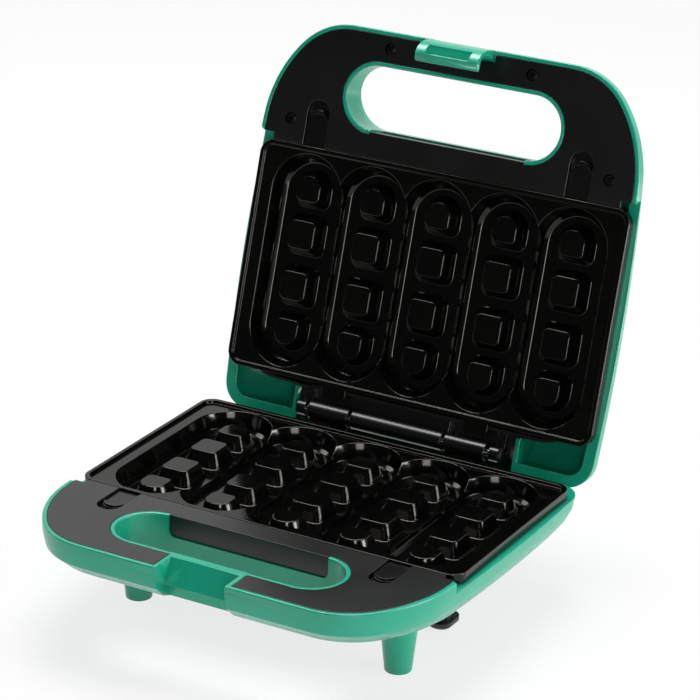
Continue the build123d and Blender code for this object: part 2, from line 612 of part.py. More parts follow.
def stud(centre_y, outward):
    """One raised stud, drafted from the pocket's floor to its flat top."""
    top = PLATE_FACE + STUD_SHY
    foot = PLATE_FACE + POCKET_DEPTH + PLATE_SHEET / 2
    width = END_STUD_TOP if outward else STUD_TOP
    grow = (foot - top) * tan(radians(STUD_DRAFT))
    top_face = stud_outline(width, STUD_CORNER, outward)
    foot_face = stud_outline(width + 2 * grow, STUD_CORNER + grow / 2, outward)
    return Pos(0, centre_y, 0) * loft([Pos(0, 0, top) * top_face, Pos(0, 0, foot) * foot_face], ruled=True)


def plate():
    """The removable non-stick cooking plate, cast in one piece."""
    outline = RectangleRounded(PLATE_WIDTH, PLATE_LENGTH, PLATE_CORNER)
    inner_width = PLATE_WIDTH - 2 * PLATE_RIM_WIDTH
    inner_length = PLATE_LENGTH - 2 * PLATE_RIM_WIDTH
    body = prism(outline, 0, PLATE_SKIRT)
    body -= prism(RectangleRounded(inner_width, inner_length, PLATE_CORNER - PLATE_RIM_WIDTH), -1, PLATE_FACE)
    under = RectangleRounded(
        PLATE_WIDTH - 2 * SKIRT_THICKNESS,
        PLATE_LENGTH - 2 * SKIRT_THICKNESS,
        PLATE_CORNER - SKIRT_THICKNESS,
    )
    body -= prism(under, PLATE_FACE + PLATE_SHEET, PLATE_SKIRT + 1)
    body += pockets(PLATE_SHEET)
    body -= pockets(0.0, POCKET_FLOOR_CHAMFER)
    for number in range(POCKETS):
        x = (number - (POCKETS - 1) / 2) * POCKET_PITCH
        for centre, outward in [(-END_STUD_CENTRE, -1), (-STUD_CENTRE, 0), (STUD_CENTRE, 0), (END_STUD_CENTRE, 1)]:
            body += Pos(x, 0, 0) * stud(centre, outward)
    tab_x = (TAB_CENTRE - TAB_WIDTH / 2, TAB_CENTRE + TAB_WIDTH / 2)
    tab = block(tab_x, (PLATE_LENGTH / 2 - 0.5, PLATE_LENGTH / 2 + TAB_REACH), (PLATE_FACE, PLATE_FACE + TAB_THICKNESS))
    tab = fillet(tab.edges().filter_by(Axis.Z).group_by(Axis.Y)[-1], TAB_ROUND)
    body += both_sides(tab)
    notch_half = BUTTON_TONGUE_HALF_WIDTH + MOVING_GAP
    notch = block(
        (BUTTON_CENTRE - notch_half, BUTTON_CENTRE + notch_half),
        (-PLATE_LENGTH / 2 - 1, -PLATE_LENGTH / 2 + SKIRT_THICKNESS + 0.1),
        (DECK_THICKNESS + MOVING_GAP, BUTTON_BOX_FLOOR),
    )
    return body - both_sides(notch)


# ---------------------------------------------------------------- heating
def element():
    """The tubular heating element: one loop under the pockets, its two ends turned down to the terminals."""
    w, l, t = ELEMENT_HALF_WIDTH, ELEMENT_HALF_LENGTH, TERMINAL_SPACING / 2
    end = ELEMENT_LEVEL + TERMINAL_DROP
    points = [
        (-t, l, end),
        (-t, l, ELEMENT_LEVEL),
        (-w, l, ELEMENT_LEVEL),
        (-w, -l, ELEMENT_LEVEL),
        (w, -l, ELEMENT_LEVEL),
        (w, l, ELEMENT_LEVEL),
        (t, l, ELEMENT_LEVEL),
        (t, l, end),
    ]
    bends = [TERMINAL_BEND] + 4 * [ELEMENT_BEND] + [TERMINAL_BEND]
    path = FilletPolyline(*points, radius=bends)
    return sweep(Plane(origin=path @ 0, z_dir=path % 0) * RegularPolygon(ELEMENT_RADIUS, 8), path=path)


def reflector():
    """The pressed tray under the element, its flange resting on the tub's ledge."""
    flange_inset = FRAME_WALL + MOVING_GAP + (WELL_DEPTH - WELL_TOP) * tan(radians(WELL_DRAFT))
    flange = RectangleRounded(
        2 * (WELL_HALF_WIDTH - flange_inset),
        2 * (WELL_HALF_LENGTH - flange_inset),
        WELL_CORNER - FRAME_WALL,
    )
    top = WELL_DEPTH - LEDGE_THICKNESS - REFLECTOR_SHEET
    pan = RectangleRounded(2 * REFLECTOR_HALF_WIDTH, 2 * REFLECTOR_HALF_LENGTH, REFLECTOR_CORNER)
    inner = RectangleRounded(
        2 * (REFLECTOR_HALF_WIDTH - REFLECTOR_SHEET),
        2 * (REFLECTOR_HALF_LENGTH - REFLECTOR_SHEET),
        REFLECTOR_CORNER - REFLECTOR_SHEET,
    )
    body = prism(flange, top, top + REFLECTOR_SHEET) + prism(pan, top, REFLECTOR_FLOOR + REFLECTOR_SHEET)
    body -= prism(inner, top - 1, REFLECTOR_FLOOR)
    for x in (-TERMINAL_SPACING / 2 - 1.2, TERMINAL_SPACING / 2 + 1.2):
        body -= post(x, ELEMENT_HALF_LENGTH, ELEMENT_RADIUS + 2, REFLECTOR_FLOOR - 1, REFLECTOR_FLOOR + 2)
    return body


def element_clips():
    """The four saddles that carry the element a little above the tray's floor."""
    saddle = block(
        (ELEMENT_HALF_WIDTH - CLIP_LENGTH / 2, ELEMENT_HALF_WIDTH + ELEMENT_RADIUS + 1),
        (-CLIP_WIDTH / 2, CLIP_WIDTH / 2),
        (ELEMENT_LEVEL + 1, REFLECTOR_FLOOR),
    )
    saddle -= Pos(ELEMENT_HALF_WIDTH, 0, ELEMENT_LEVEL) * Rot(90, 0, 0) * Cylinder(ELEMENT_RADIUS, 50)
    return [Pos(0, y, 0) * piece for piece in (saddle, mirror(saddle, Plane.YZ)) for y in (-CLIP_OFFSET, CLIP_OFFSET)]


def thermostat():
    """The snap disc thermostat under the tray."""
    disc = post(0, 0, 8, REFLECTOR_FLOOR + REFLECTOR_SHEET, REFLECTOR_FLOOR + 6)
    disc += post(0, 0, 6.5, REFLECTOR_FLOOR + 6, REFLECTOR_FLOOR + 10)
    return disc + both_sides(block((3, 3.8), (-3, 3), (REFLECTOR_FLOOR + 10, REFLECTOR_FLOOR + 15)))


def thermal_fuse():
    """The one-shot fuse strapped flat under the tray, with its two leads."""
    level = REFLECTOR_FLOOR + REFLECTOR_SHEET + 2
    return Pos(0, 20, 0) * (rod(2, 0, level, -5.5, 5.5) + rod(0.6, 0, level, -13, 13))


def terminal_block():
    """The terminal block where the supply joins the heating circuit."""
    body = block((-15, 15), (TERMINAL_Y - 4.5, TERMINAL_Y + 4.5), (TERMINAL_SEAT - 8, TERMINAL_SEAT))
    for x in (-10, 0, 10):
        body -= Pos(x, TERMINAL_Y, TERMINAL_SEAT - 5) * Rot(90, 0, 0) * Cylinder(1.8, 20)
        body -= post(x, TERMINAL_Y, 1.6, TERMINAL_SEAT - 9, TERMINAL_SEAT - 4)
    return body


# ---------------------------------------------------------------- moving pieces
def release_button():
    """The right-hand plate release: a thumb slide with a raised ridge, guide flanges and a tongue."""
    radius = BUTTON_SLOT_WIDTH / 2 - MOVING_GAP
    end = -BUTTON_END + radius
    rear = -PLATE_LENGTH / 2 - MOVING_GAP
    face = Pos(BUTTON_CENTRE, end) * Circle(radius)
    face += Pos(BUTTON_CENTRE, (end + rear) / 2) * Rectangle(2 * radius, rear - end)
    body = prism(face, BUTTON_SUNK, DECK_THICKNESS + MOVING_GAP)
    ridge = Pos(BUTTON_CENTRE, end) * (Circle(radius - 0.6) - Pos(0, 3.2) * Circle(radius + 0.6))
    body += prism(ridge, BUTTON_RIDGE_SUNK, BUTTON_SUNK + 0.3)
    flange_half = radius + BUTTON_FLANGE
    flange_top = DECK_THICKNESS + MOVING_GAP
    flange_bottom = BUTTON_BOX_FLOOR - MOVING_GAP
    flange_x = (BUTTON_CENTRE - flange_half, BUTTON_CENTRE + flange_half)
    body += block(flange_x, (-FLANGE_END, -WELL_HALF_LENGTH - MOVING_GAP), (flange_top, flange_bottom))
    tongue_x = (BUTTON_CENTRE - BUTTON_TONGUE_HALF_WIDTH, BUTTON_CENTRE + BUTTON_TONGUE_HALF_WIDTH)
    tongue_z = (flange_top + MOVING_GAP, flange_bottom)
    body += block(tongue_x, (-WELL_HALF_LENGTH - 1, -PLATE_LENGTH / 2 + 1.2), tongue_z)
    return body


def release_springs():
    """The bowed leaf springs that push the two release slides towards the plate, pressed as at full travel."""
    half, crest = SPRING_HALF_LENGTH, -SPRING_CREST
    low = crest - SPRING_BOW
    arc = ThreePointArc((-half, low), (0, crest), (half, low))
    inner = ThreePointArc((half - SPRING_SHEET, low), (0, crest - SPRING_SHEET), (SPRING_SHEET - half, low))
    outline = make_face(Curve() + [arc, Line(arc @ 1, inner @ 0), inner, Line(inner @ 1, arc @ 0)])
    spring = prism(Pos(BUTTON_CENTRE, 0) * outline, DECK_THICKNESS + 2 * MOVING_GAP, BUTTON_BOX_FLOOR - MOVING_GAP)
    return [spring, mirror(spring, Plane.YZ)]


def latch():
    """The spring-less snap latch: barrel on its pin, curved outer face and the hook that grips the catch."""
    front = [(3.3, 7.0), (0.5, 2.5), (0.2, -4.0), (1.4, -10.5), (4.1, -15.2), (7.7, -17.7)]
    hook = [(11.5, -17.0), (12.3, -15.6), (12.1, -13.7), (6.3, -13.4), (4.1, -11.6), (3.7, -8.0)]
    barrel_side = [(3.7, -0.5), (6.9, 2.0), (7.9, 6.0), (5.9, 8.0)]
    outer = Spline(*[(0, back - FRONT_REACH, level) for back, level in front])
    inside = [front[-1]] + hook + barrel_side + [front[0]]
    inner = Polyline(*[(0, back - FRONT_REACH, level) for back, level in inside])
    outline = make_face(Curve() + [outer, inner])
    body = extrude(Pos(-LATCH_HALF_WIDTH, 0, 0) * outline, 2 * LATCH_HALF_WIDTH, dir=(1, 0, 0))
    barrel_left = NOTCH_HALF_WIDTH - MOVING_GAP
    body += rod(LATCH_BARREL_RADIUS, -LATCH_PIVOT_REACH, LATCH_PIVOT_LEVEL, -barrel_left, barrel_left)
    recess = extrude(RectangleRounded(2 * LATCH_HALF_WIDTH - 7, 11.5, 2.5), FAR)
    body -= Pos(0, LATCH_RECESS - FRONT_REACH, -5.3) * Rot(90, 0, 0) * recess
    bore = LATCH_PIN_RADIUS + PIN_CLEARANCE
    return body - rod(bore, -LATCH_PIVOT_REACH, LATCH_PIVOT_LEVEL, -30, 30)


# ---------------------------------------------------------------- fixings and trim
def screw(x, y, head_base, tip):
    """A pan-head screw at (x, y); the shank runs from under the head to the tip."""
    away = 1 if tip < head_base else -1
    head = sorted([head_base, head_base + away * SCREW_HEAD_THICKNESS])
    shank = sorted([head_base, tip])
    return post(x, y, SCREW_HEAD_RADIUS, *head) + post(x, y, SCREW_RADIUS, *shank)


def foot_pads():
    """Rubber pads let into the ends of the four legs."""
    low, high = FLOOR_DEPTH - PAD_THICKNESS, FLOOR_DEPTH
    return [post(x, y, PAD_RADIUS, low, high) for x, y in mirrored_points([FRONT_FOOT, REAR_FOOT])]


def cord_cleats():
    """The two hooks under the body that the cord is wound round for storage."""
    cap = prism(RectangleRounded(13, 19, 6), CLEAT_CAP_LEVEL, CLEAT_END)
    cap = chamfer(cap.edges().group_by(Axis.Z)[-1], 1)
    cleat = cap + post(0, 0, CLEAT_STEM_RADIUS, CLEAT_SEAT, CLEAT_CAP_LEVEL)
    cleat += post(0, 0, SCREW_HEAD_RADIUS - FIT_GAP / 2, CLEAT_SEAT - 5, CLEAT_SEAT)
    return [Pos(x, y, 0) * cleat for x, y in mirrored_points([CLEAT])]


def cord_gland():
    """The bushing in the rear wall that the supply cord enters through."""
    length = 8
    seat = INLET_SEAT + FIT_GAP
    sleeve = Pos(0, seat - length / 2, INLET_DEPTH) * Rot(90, 0, 0) * Cylinder(INLET_RADIUS, length)
    flange = Pos(0, seat + 1.1, INLET_DEPTH) * Rot(90, 0, 0) * Cylinder(INLET_RADIUS + WALL, 2.2)
    bore = Pos(0, seat, INLET_DEPTH) * Rot(90, 0, 0) * Cylinder(INLET_BORE_RADIUS, 3 * length)
    return sleeve + flange - bore


def lamp(x, y):
    """One round signal lamp lens, its dome a little proud of the lid."""
    lens = post(x, y, LAMP_RADIUS, LID_DEPTH - 4, LID_DEPTH + 0.8)
    lens = fillet(lens.edges().group_by(Axis.Z)[-1], 0.6)
    return lens + post(x, y, LAMP_RADIUS + 1.5, LID_DEPTH - 4, LID_DEPTH - WALL - 0.1)


def lamp_holder():
    """The bracket inside the lid that carries both lamps against the shell."""
    x, y = LAMP_CENTRE
    holder = block((-x - 7, x + 7), (y - 6, y + 6), (LID_DEPTH - 7, LID_DEPTH - 4))
    return holder


# ---------------------------------------------------------------- placing
def place_base(piece):
    """From the closed upper drawing to the lower half."""
    return Pos(0, 0, -HALVES_GAP / 2) * mirror(piece, Plane.XY)


def place_lid(piece):
    """From the closed upper drawing to the lid standing open on its stop."""
    swing = Pos(0, HINGE_REACH, 0) * Rot(-OPEN_ANGLE, 0, 0) * Pos(0, -HINGE_REACH, 0)
    return swing * Pos(0, 0, HALVES_GAP / 2) * piece


button = release_button()
springs = release_springs()
cooking_plate = plate()
loop = element()
tray = reflector()
clips = element_clips()
base_head = WELL_DEPTH + FIT_GAP + SCREW_LENGTH - SCREW_HEAD_THICKNESS
base_tip = WELL_DEPTH - LEDGE_THICKNESS + 0.1
lid_head = DECK_THICKNESS - 0.8
lid_tip = DECK_THICKNESS + MOVING_GAP + 2.8

base_pieces = {
    "base_shell": base_shell(),
    "base_frame": base_frame(),
    "base_plate": cooking_plate,
    "base_heating_element": loop,
    "base_reflector": tray,
    "base_element_clips": clips,
    "base_thermostat": thermostat(),
    "base_thermal_fuse": thermal_fuse(),
    "base_terminal_block": terminal_block(),
    "base_screws": [screw(x, y, base_head, base_tip) for x, y in mirrored_points(BASE_SCREWS)],
    "base_release_springs": springs,
    "base_release_right": button,
    "base_release_left": mirror(button, Plane.YZ),
    "cord_gland": cord_gland(),
    "cord_cleats": cord_cleats(),
    "foot_pads": foot_pads(),
    "hinge_pin": rod(HINGE_PIN_RADIUS, HINGE_REACH, -HALVES_GAP / 2, -LUG_END, LUG_END),
}

lid_pieces = {
    "lid_shell": lid_shell(),
    "lid_frame": lid_frame(),
    "lid_plate": cooking_plate,
    "lid_heating_element": loop,
    "lid_reflector": tray,
    "lid_element_clips": clips,
    "lid_screws": [screw(x, y, lid_head, lid_tip) for x, y in mirrored_points(LID_SCREWS)],
    "lid_release_springs": springs,
    "lid_release_right": button,
    "lid_release_left": mirror(button, Plane.YZ),
    "lid_lamp_holder": lamp_holder(),
    "lamp_power": lamp(-LAMP_CENTRE[0], LAMP_CENTRE[1]),
    "lamp_ready": lamp(LAMP_CENTRE[0], LAMP_CENTRE[1]),
    "latch_hook": latch(),
    "latch_pin": rod(LATCH_PIN_RADIUS, -LATCH_PIVOT_REACH, LATCH_PIVOT_LEVEL, -NOTCH_HALF_WIDTH - 1.9, NOTCH_HALF_WIDTH + 1.9),
}

placed = {}
for pieces, place in [(base_pieces, place_base), (lid_pieces, place_lid)]:
    for name, piece in pieces.items():
        solids = piece if isinstance(piece, list) else piece.solids()
        placed[name] = Compound([place(solid) for solid in solids])

bounds = Compound(list(placed.values())).bounding_box()
shift = (-(bounds.min.X + bounds.max.X) / 2, -(bounds.min.Y + bounds.max.Y) / 2, -bounds.min.Z)

os.makedirs("parts", exist_ok=True)
for name, piece in placed.items():
    export_step(Pos(*shift) * piece, f"parts/{name}.step")

print("size", [round(v, 2) for v in bounds.size], "shift", [round(v, 3) for v in shift])
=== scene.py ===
# %% [markdown]
# # A cake pop maker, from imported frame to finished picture
#
# The cooker has two green moulded halves joined at the rear by a hinge. Each half carries a black
# inner frame and a cast cooking plate with five studded pockets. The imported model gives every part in
# its real place, in metres. This lesson only gives those parts their looks: soft edges, smooth
# shading, screws, heater tubes and foot pads grown by Geometry Nodes, and procedural materials.

# %% Load the frame
import bpy
import bmesh
import json
from math import radians
from mathutils import Matrix, Vector
from mathutils.bvhtree import BVHTree


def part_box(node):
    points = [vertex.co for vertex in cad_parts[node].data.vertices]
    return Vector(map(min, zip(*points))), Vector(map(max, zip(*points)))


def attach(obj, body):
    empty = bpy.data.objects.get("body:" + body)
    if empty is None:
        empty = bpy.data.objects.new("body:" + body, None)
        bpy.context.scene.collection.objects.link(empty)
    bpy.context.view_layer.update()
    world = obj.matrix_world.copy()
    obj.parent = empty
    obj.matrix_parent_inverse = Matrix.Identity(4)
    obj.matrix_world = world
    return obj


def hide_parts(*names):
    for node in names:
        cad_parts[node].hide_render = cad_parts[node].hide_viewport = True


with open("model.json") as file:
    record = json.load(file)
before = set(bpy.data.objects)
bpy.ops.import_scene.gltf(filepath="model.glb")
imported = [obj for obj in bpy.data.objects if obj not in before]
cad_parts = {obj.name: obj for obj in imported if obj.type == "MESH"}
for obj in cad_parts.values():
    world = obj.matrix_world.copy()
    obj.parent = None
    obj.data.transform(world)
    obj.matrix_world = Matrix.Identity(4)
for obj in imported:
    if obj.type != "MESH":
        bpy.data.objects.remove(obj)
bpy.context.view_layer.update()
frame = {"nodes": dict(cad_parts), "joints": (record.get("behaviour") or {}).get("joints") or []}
MM = 0.001
RIGHT, REARWARD, UP = (Vector(axis) for axis in ((1, 0, 0), (0, 1, 0), (0, 0, 1)))
print("nodes in the frame:", len(frame["nodes"]))

# %% [markdown]
# ## Camera
#
# The camera stands in front and to the right, a little above the open lid, and looks through a long
# lens. A long lens keeps the upright edges nearly parallel, as in a catalogue picture. Its place is
# given as a studio would give it: the point it looks at, how far off it stands, how far it is turned
# to the right and raised, and a roll of about one degree.

# %% Camera
CAMERA_SENSOR_MM = 36.0
CAMERA_LENS_MM = 163.43
CAMERA_NEAR, CAMERA_FAR = 0.05, 50.0
CAMERA_AIM = Vector((-0.00316, 0.0184, 0.12519))
CAMERA_DISTANCE = 1.6503
CAMERA_TURN = radians(29.136)
CAMERA_RAISE = radians(22.104)
CAMERA_ROLL = radians(1.284)

camera_data = bpy.data.cameras.new("studio_camera")
camera_data.sensor_width = CAMERA_SENSOR_MM
camera_data.lens = CAMERA_LENS_MM
camera_data.clip_start = CAMERA_NEAR
camera_data.clip_end = CAMERA_FAR
camera = bpy.data.objects.new("studio_camera", camera_data)
bpy.context.scene.collection.objects.link(camera)
camera_stand = Matrix.Rotation(CAMERA_TURN, 4, "Z") @ Matrix.Rotation(radians(90) - CAMERA_RAISE, 4, "X")
camera_place = CAMERA_AIM + camera_stand @ (UP * CAMERA_DISTANCE)
camera.matrix_world = Matrix.Translation(camera_place) @ camera_stand @ Matrix.Rotation(CAMERA_ROLL, 4, "Z")
bpy.context.scene.camera = camera
print("camera", [round(v, 4) for v in camera_place])

# %% [markdown]
# ## Two small tools for materials
#
# A colour is written as the hex value a painter would pick on screen, and one function turns it into
# the linear numbers Blender mixes with. A second function adds a node, sets it up and links it, so
# that each material below reads as a short list of steps.

# %% Colour and node tools
def paint(hex_value):
    """An sRGB hex colour as linear red, green, blue and full alpha."""
    channels = [int(hex_value[i:i + 2], 16) / 255 for i in (1, 3, 5)]
    linear = [c / 12.92 if c <= 0.04045 else ((c + 0.055) / 1.055) ** 2.4 for c in channels]
    return (*linear, 1.0)


def add(tree, kind, sockets=None, **settings):
    """Adds a node; sockets gives each input a value, the output that feeds it, or a list of outputs."""
    node = tree.nodes.new(kind)
    for name, value in settings.items():
        setattr(node, name, value)
    for name, value in (sockets or {}).items():
        if isinstance(value, bpy.types.NodeSocket):
            value = [value]
        if isinstance(value, list):
            for source in value:
                tree.links.new(source, node.inputs[name])
        else:
            node.inputs[name].default_value = value
    return node


def per_mm(size_mm):
    """The texture scale at which one feature is that many millimetres across."""
    return 1.0 / (size_mm * MM)


# %% [markdown]
# ## One recipe for moulded and coated surfaces
#
# Most parts here are moulded plastic or coated metal. They share three effects: a colour that drifts
# a little over the part, a gloss that is not quite even, and a fine texture from the mould or the
# spray gun. Pictures wrapped round the parts could give that too, but noise nodes need no seams and
# keep real sizes. One function builds them, and each material gives it real colours and real sizes.

# %% Surface recipe
DRIFT_LOW, DRIFT_HIGH = 0.3, 0.7
GRAIN_RELIEF = 0.2


def surface(name, colours, drift_mm, roughness, grain_mm, grain_depth, sockets=None):
    """A material whose colour drifts between two hexes and whose gloss and grain vary at real sizes."""
    material = bpy.data.materials.new(name)
    material.use_nodes = True
    tree = material.node_tree
    shader = tree.nodes["Principled BSDF"]
    place = add(tree, "ShaderNodeTexCoord").outputs["Object"]
    drift = add(tree, "ShaderNodeTexNoise", {"Vector": place, "Scale": per_mm(drift_mm), "Detail": 3.0})
    ramp = add(tree, "ShaderNodeValToRGB", {"Fac": drift.outputs["Fac"]})
    for stop, position, colour in zip(ramp.color_ramp.elements, (DRIFT_LOW, DRIFT_HIGH), colours):
        stop.position = position
        stop.color = paint(colour)
    tree.links.new(ramp.outputs["Color"], shader.inputs["Base Color"])
    gloss = add(tree, "ShaderNodeMapRange", {
        "Value": drift.outputs["Fac"], "From Min": DRIFT_LOW, "From Max": DRIFT_HIGH,
        "To Min": roughness[0], "To Max": roughness[1]})
    tree.links.new(gloss.outputs["Result"], shader.inputs["Roughness"])
    grain = add(tree, "ShaderNodeTexNoise", {"Vector": place, "Scale": per_mm(grain_mm), "Detail": 2.0})
    bump = add(tree, "ShaderNodeBump", {
        "Height": grain.outputs["Fac"], "Strength": grain_depth, "Distance": grain_mm * MM * GRAIN_RELIEF})
    tree.links.new(bump.outputs["Normal"], shader.inputs["Normal"])
    for socket, value in (sockets or {}).items():
        shader.inputs[socket].default_value = value
    return material


# %% [markdown]
# ## The plastics and the coating that show
#
# ABS is the usual plastic of small kitchen appliances: glossy where the mould is polished, satin
# where it is spark-eroded, and its index of refraction is 1.53. The plates are cast aluminium under a
# sprayed PTFE coating, which shows a soft orange-peel skin. Its shine gets a faint warm tint, which is
# a painted reflection of warm surroundings.

# %% Outer materials
ABS_IOR = 1.53

green_abs = surface(
    "abs_moulded_gloss_green", ("#14A383", "#19AA8A"), 60, (0.22, 0.28), 1.6, 0.05, {"IOR": ABS_IOR})
black_abs = surface(
    "abs_spark_eroded_satin_black", ("#070707", "#0A0A0A"), 40, (0.28, 0.33), 0.6, 0.2, {"IOR": ABS_IOR})
slide_abs = surface(
    "abs_polished_black", ("#090909", "#0D0D0D"), 25, (0.20, 0.26), 0.8, 0.08,
    {"IOR": ABS_IOR, "Specular IOR Level": 0.4})
# The warm Specular Tint of the coating is a painted reflection of warm surroundings, not the coating's own
# colour.
ptfe = surface(
    "ptfe_sprayed_on_cast_aluminium", ("#050505", "#080807"), 30, (0.09, 0.13), 1.1, 0.06,
    {"IOR": 1.42, "Specular Tint": paint("#FFF9F1")})
print("materials:", len(bpy.data.materials))

# %% [markdown]
# ## The metals and the small parts' materials
#
# The heater tube is steel browned by heat, the trays are steel with a dull aluminium coat, and pins
# and screws are turned steel, bright or blackened. Ceramic blocks are unglazed and so quite rough,
# the pads are matte nitrile rubber, and the two lamps have caps of clear, tinted polycarbonate.

# %% Inner materials
METAL = {"Metallic": 1.0}
CLEAR_CAP = {"IOR": 1.58}

steel_tube = surface(
    "heater_tube_oxidised_steel", ("#4A443E", "#5C554C"), 12, (0.38, 0.5), 0.8, 0.2, METAL)
tray_sheet = surface(
    "aluminised_steel_sheet", ("#A9A9A7", "#B8B8B6"), 20, (0.3, 0.42), 1.0, 0.15, METAL)
bright_steel = surface(
    "turned_bright_steel", ("#8D8D8C", "#9C9C9A"), 6, (0.22, 0.32), 0.5, 0.1, METAL)
black_steel = surface(
    "blackened_screw_steel", ("#1E1E1F", "#29292A"), 3, (0.35, 0.45), 0.5, 0.15, METAL)
steatite = surface(
    "steatite_ceramic_unglazed", ("#D8D0C0", "#E2DBCC"), 8, (0.6, 0.75), 0.5, 0.3, {"IOR": 1.6})
rubber = surface(
    "nitrile_rubber_matte", ("#121212", "#191919"), 5, (0.7, 0.8), 0.6, 0.35, {"IOR": 1.52})
lamp_red = surface(
    "polycarbonate_tinted_red", ("#9A1210", "#B01814"), 4, (0.08, 0.12), 0.6, 0.05, CLEAR_CAP)
lamp_green = surface(
    "polycarbonate_tinted_green", ("#1E8A32", "#2AA040"), 4, (0.08, 0.12), 0.6, 0.05, CLEAR_CAP)
print("materials:", len(bpy.data.materials))

# %% [markdown]
# ## Softened copies of the CAD parts
#
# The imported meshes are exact, but most edges are knife sharp and every triangle is loose. Real
# mouldings and castings have small radii that catch the light. The parts could be modelled anew with
# round edges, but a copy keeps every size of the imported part. So a part that shows is copied, its
# loose corners are merged and flat areas become single faces. Edges that turn sharply get a bevel
# weight, unless a much shorter edge meets them there, because a bevel wider than its neighbour folds
# over it. A Weighted Normal modifier then keeps the flats looking flat.

# %% Merged and carved copies
LOOSE_CORNER_GAP = 0.002 * MM
CARVED_CORNER_GAP = 0.01 * MM
FLAT_TURN = radians(0.3)


def merged_copy(node):
    """A CAD node's mesh with its corners merged and its flat areas made single faces."""
    shape = bmesh.new()
    shape.from_mesh(frame["nodes"][node].data)
    bmesh.ops.remove_doubles(shape, verts=shape.verts, dist=LOOSE_CORNER_GAP)
    bmesh.ops.dissolve_limit(shape, angle_limit=FLAT_TURN, verts=shape.verts, edges=shape.edges)
    return shape


def show(name, mesh):
    """A new object in the scene that holds a mesh."""
    piece = bpy.data.objects.new(name, mesh)
    bpy.context.scene.collection.objects.link(piece)
    return piece


def with_modifiers(piece):
    """The mesh that a piece's modifiers make of it."""
    return bpy.data.meshes.new_from_object(piece.evaluated_get(bpy.context.evaluated_depsgraph_get()))


def carve(shape, steps):
    """Adds other pieces to a shape or takes them out of it, one step after another."""
    body = show("carved", bpy.data.meshes.new("carved"))
    shape.to_mesh(body.data)
    for piece, operation in steps:
        knife = body.modifiers.new(operation, "BOOLEAN")
        knife.object, knife.operation, knife.solver = piece, operation, "EXACT"
    mesh = with_modifiers(body)
    for piece in [body] + [piece for piece, _ in steps]:
        bpy.data.objects.remove(piece)
    shape.clear()
    shape.from_mesh(mesh)
    bmesh.ops.remove_doubles(shape, verts=shape.verts, dist=CARVED_CORNER_GAP)


# %% Softened copy
SHARP_TURN = radians(32.0)
EDGE_SEGMENTS = 3


def mark_sharp_edges(shape, least_mm):
    """Gives sharp edges a bevel weight, but not where an edge shorter than least_mm meets them."""
    weights = shape.edges.layers.float.new("bevel_weight_edge")
    for face in shape.faces:
        face.smooth = True
    for edge in shape.edges:
        if edge.calc_face_angle(0.0) < SHARP_TURN:
            continue
        shortest = min(near.calc_length() for corner in edge.verts for near in corner.link_edges)
        edge.smooth = shortest >= least_mm * MM
        if edge.smooth:
            edge[weights] = 1.0


def soften(node, body, slot, material, radius_mm, least_mm, steps=()):
    """Replaces a CAD node by a merged copy with its sharp edges rounded, where there is room for it."""
    shape = merged_copy(node)
    if steps:
        carve(shape, steps)
    mark_sharp_edges(shape, least_mm)
    mesh = bpy.data.meshes.new(node + "_finish")
    shape.to_mesh(mesh)
    shape.free()
    piece = show(node + "_finish", mesh)
    bevel = piece.modifiers.new("edge_radius", "BEVEL")
    bevel.width = radius_mm * MM
    bevel.segments = EDGE_SEGMENTS
    bevel.limit_method = "WEIGHT"
    bevel.miter_outer = "MITER_ARC"
    bevel.use_clamp_overlap = False
    flats = piece.modifiers.new("flat_flats", "WEIGHTED_NORMAL")
    flats.keep_sharp = True
    return settle(piece, body, slot, material, node)


def settle(piece, body, slot, material, *nodes):
    """Turns a piece's modifiers into its mesh, gives it its material and puts it on its body."""
    mesh = with_modifiers(piece)
    piece.modifiers.clear()
    piece.data = mesh
    mesh.materials.clear()
    mesh.materials.append(material)
    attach(piece, body)
    if nodes:
        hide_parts(*nodes)
    print(piece.name, "faces:", len(mesh.polygons))
    return piece


# %% [markdown]
# ## Places at the lid's front
#
# The lid stands open at an angle, so places on it are given from the latch's pin: how far to the
# right, how far towards the lid's front edge, and how far out of its inner face, in millimetres. The
# forward direction is the one that the lid's release slides travel along. Two functions turn such
# a place into a point and back.

# %% Places from the latch's pin
joint_axes = {joint["name"]: Vector(joint["axis"]) for joint in frame["joints"]}
LID_FORWARD = joint_axes["lid_release_left"]
OUT_OF_LID = RIGHT.cross(LID_FORWARD)
pin_low, pin_high = (Vector(corner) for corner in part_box("latch_pin"))
LATCH_PIN = (pin_low + pin_high) / 2


def by_pin(side, forward, outward):
    """A point near the latch, in millimetres from the middle of its pin."""
    return LATCH_PIN + (RIGHT * side + LID_FORWARD * forward + OUT_OF_LID * outward) * MM


def from_pin(point):
    """A point's side, forward and outward distances from the middle of the pin, in millimetres."""
    gap = (point - LATCH_PIN) / MM
    return Vector((gap.dot(RIGHT), gap.dot(LID_FORWARD), gap.dot(OUT_OF_LID)))


print("the lid's inner face looks along", [round(v, 3) for v in OUT_OF_LID])


# %% Closed pieces from outlines
def skin(name, runs):
    """A closed piece through each run of outlines, from its first outline to its last."""
    shape = bmesh.new()
    for outlines in runs:
        rings = [[shape.verts.new(place) for place in outline] for outline in outlines]
        for end in (rings[0], rings[-1]):
            shape.faces.new(end)
        for near, far in zip(rings, rings[1:]):
            for i in range(len(near)):
                j = (i + 1) % len(near)
                shape.faces.new((near[i], near[j], far[j], far[i]))
    bmesh.ops.recalc_face_normals(shape, faces=shape.faces)
    mesh = bpy.data.meshes.new(name)
    shape.to_mesh(mesh)
    shape.free()
    return show(name, mesh)


def crossbar(name, outline, half_width):
    """A bar lying across the lid, centred on it, with the given outline beside the pin."""
    ends = [[by_pin(side, *point) for point in outline] for side in (-half_width, half_width)]
    return skin(name, [ends])


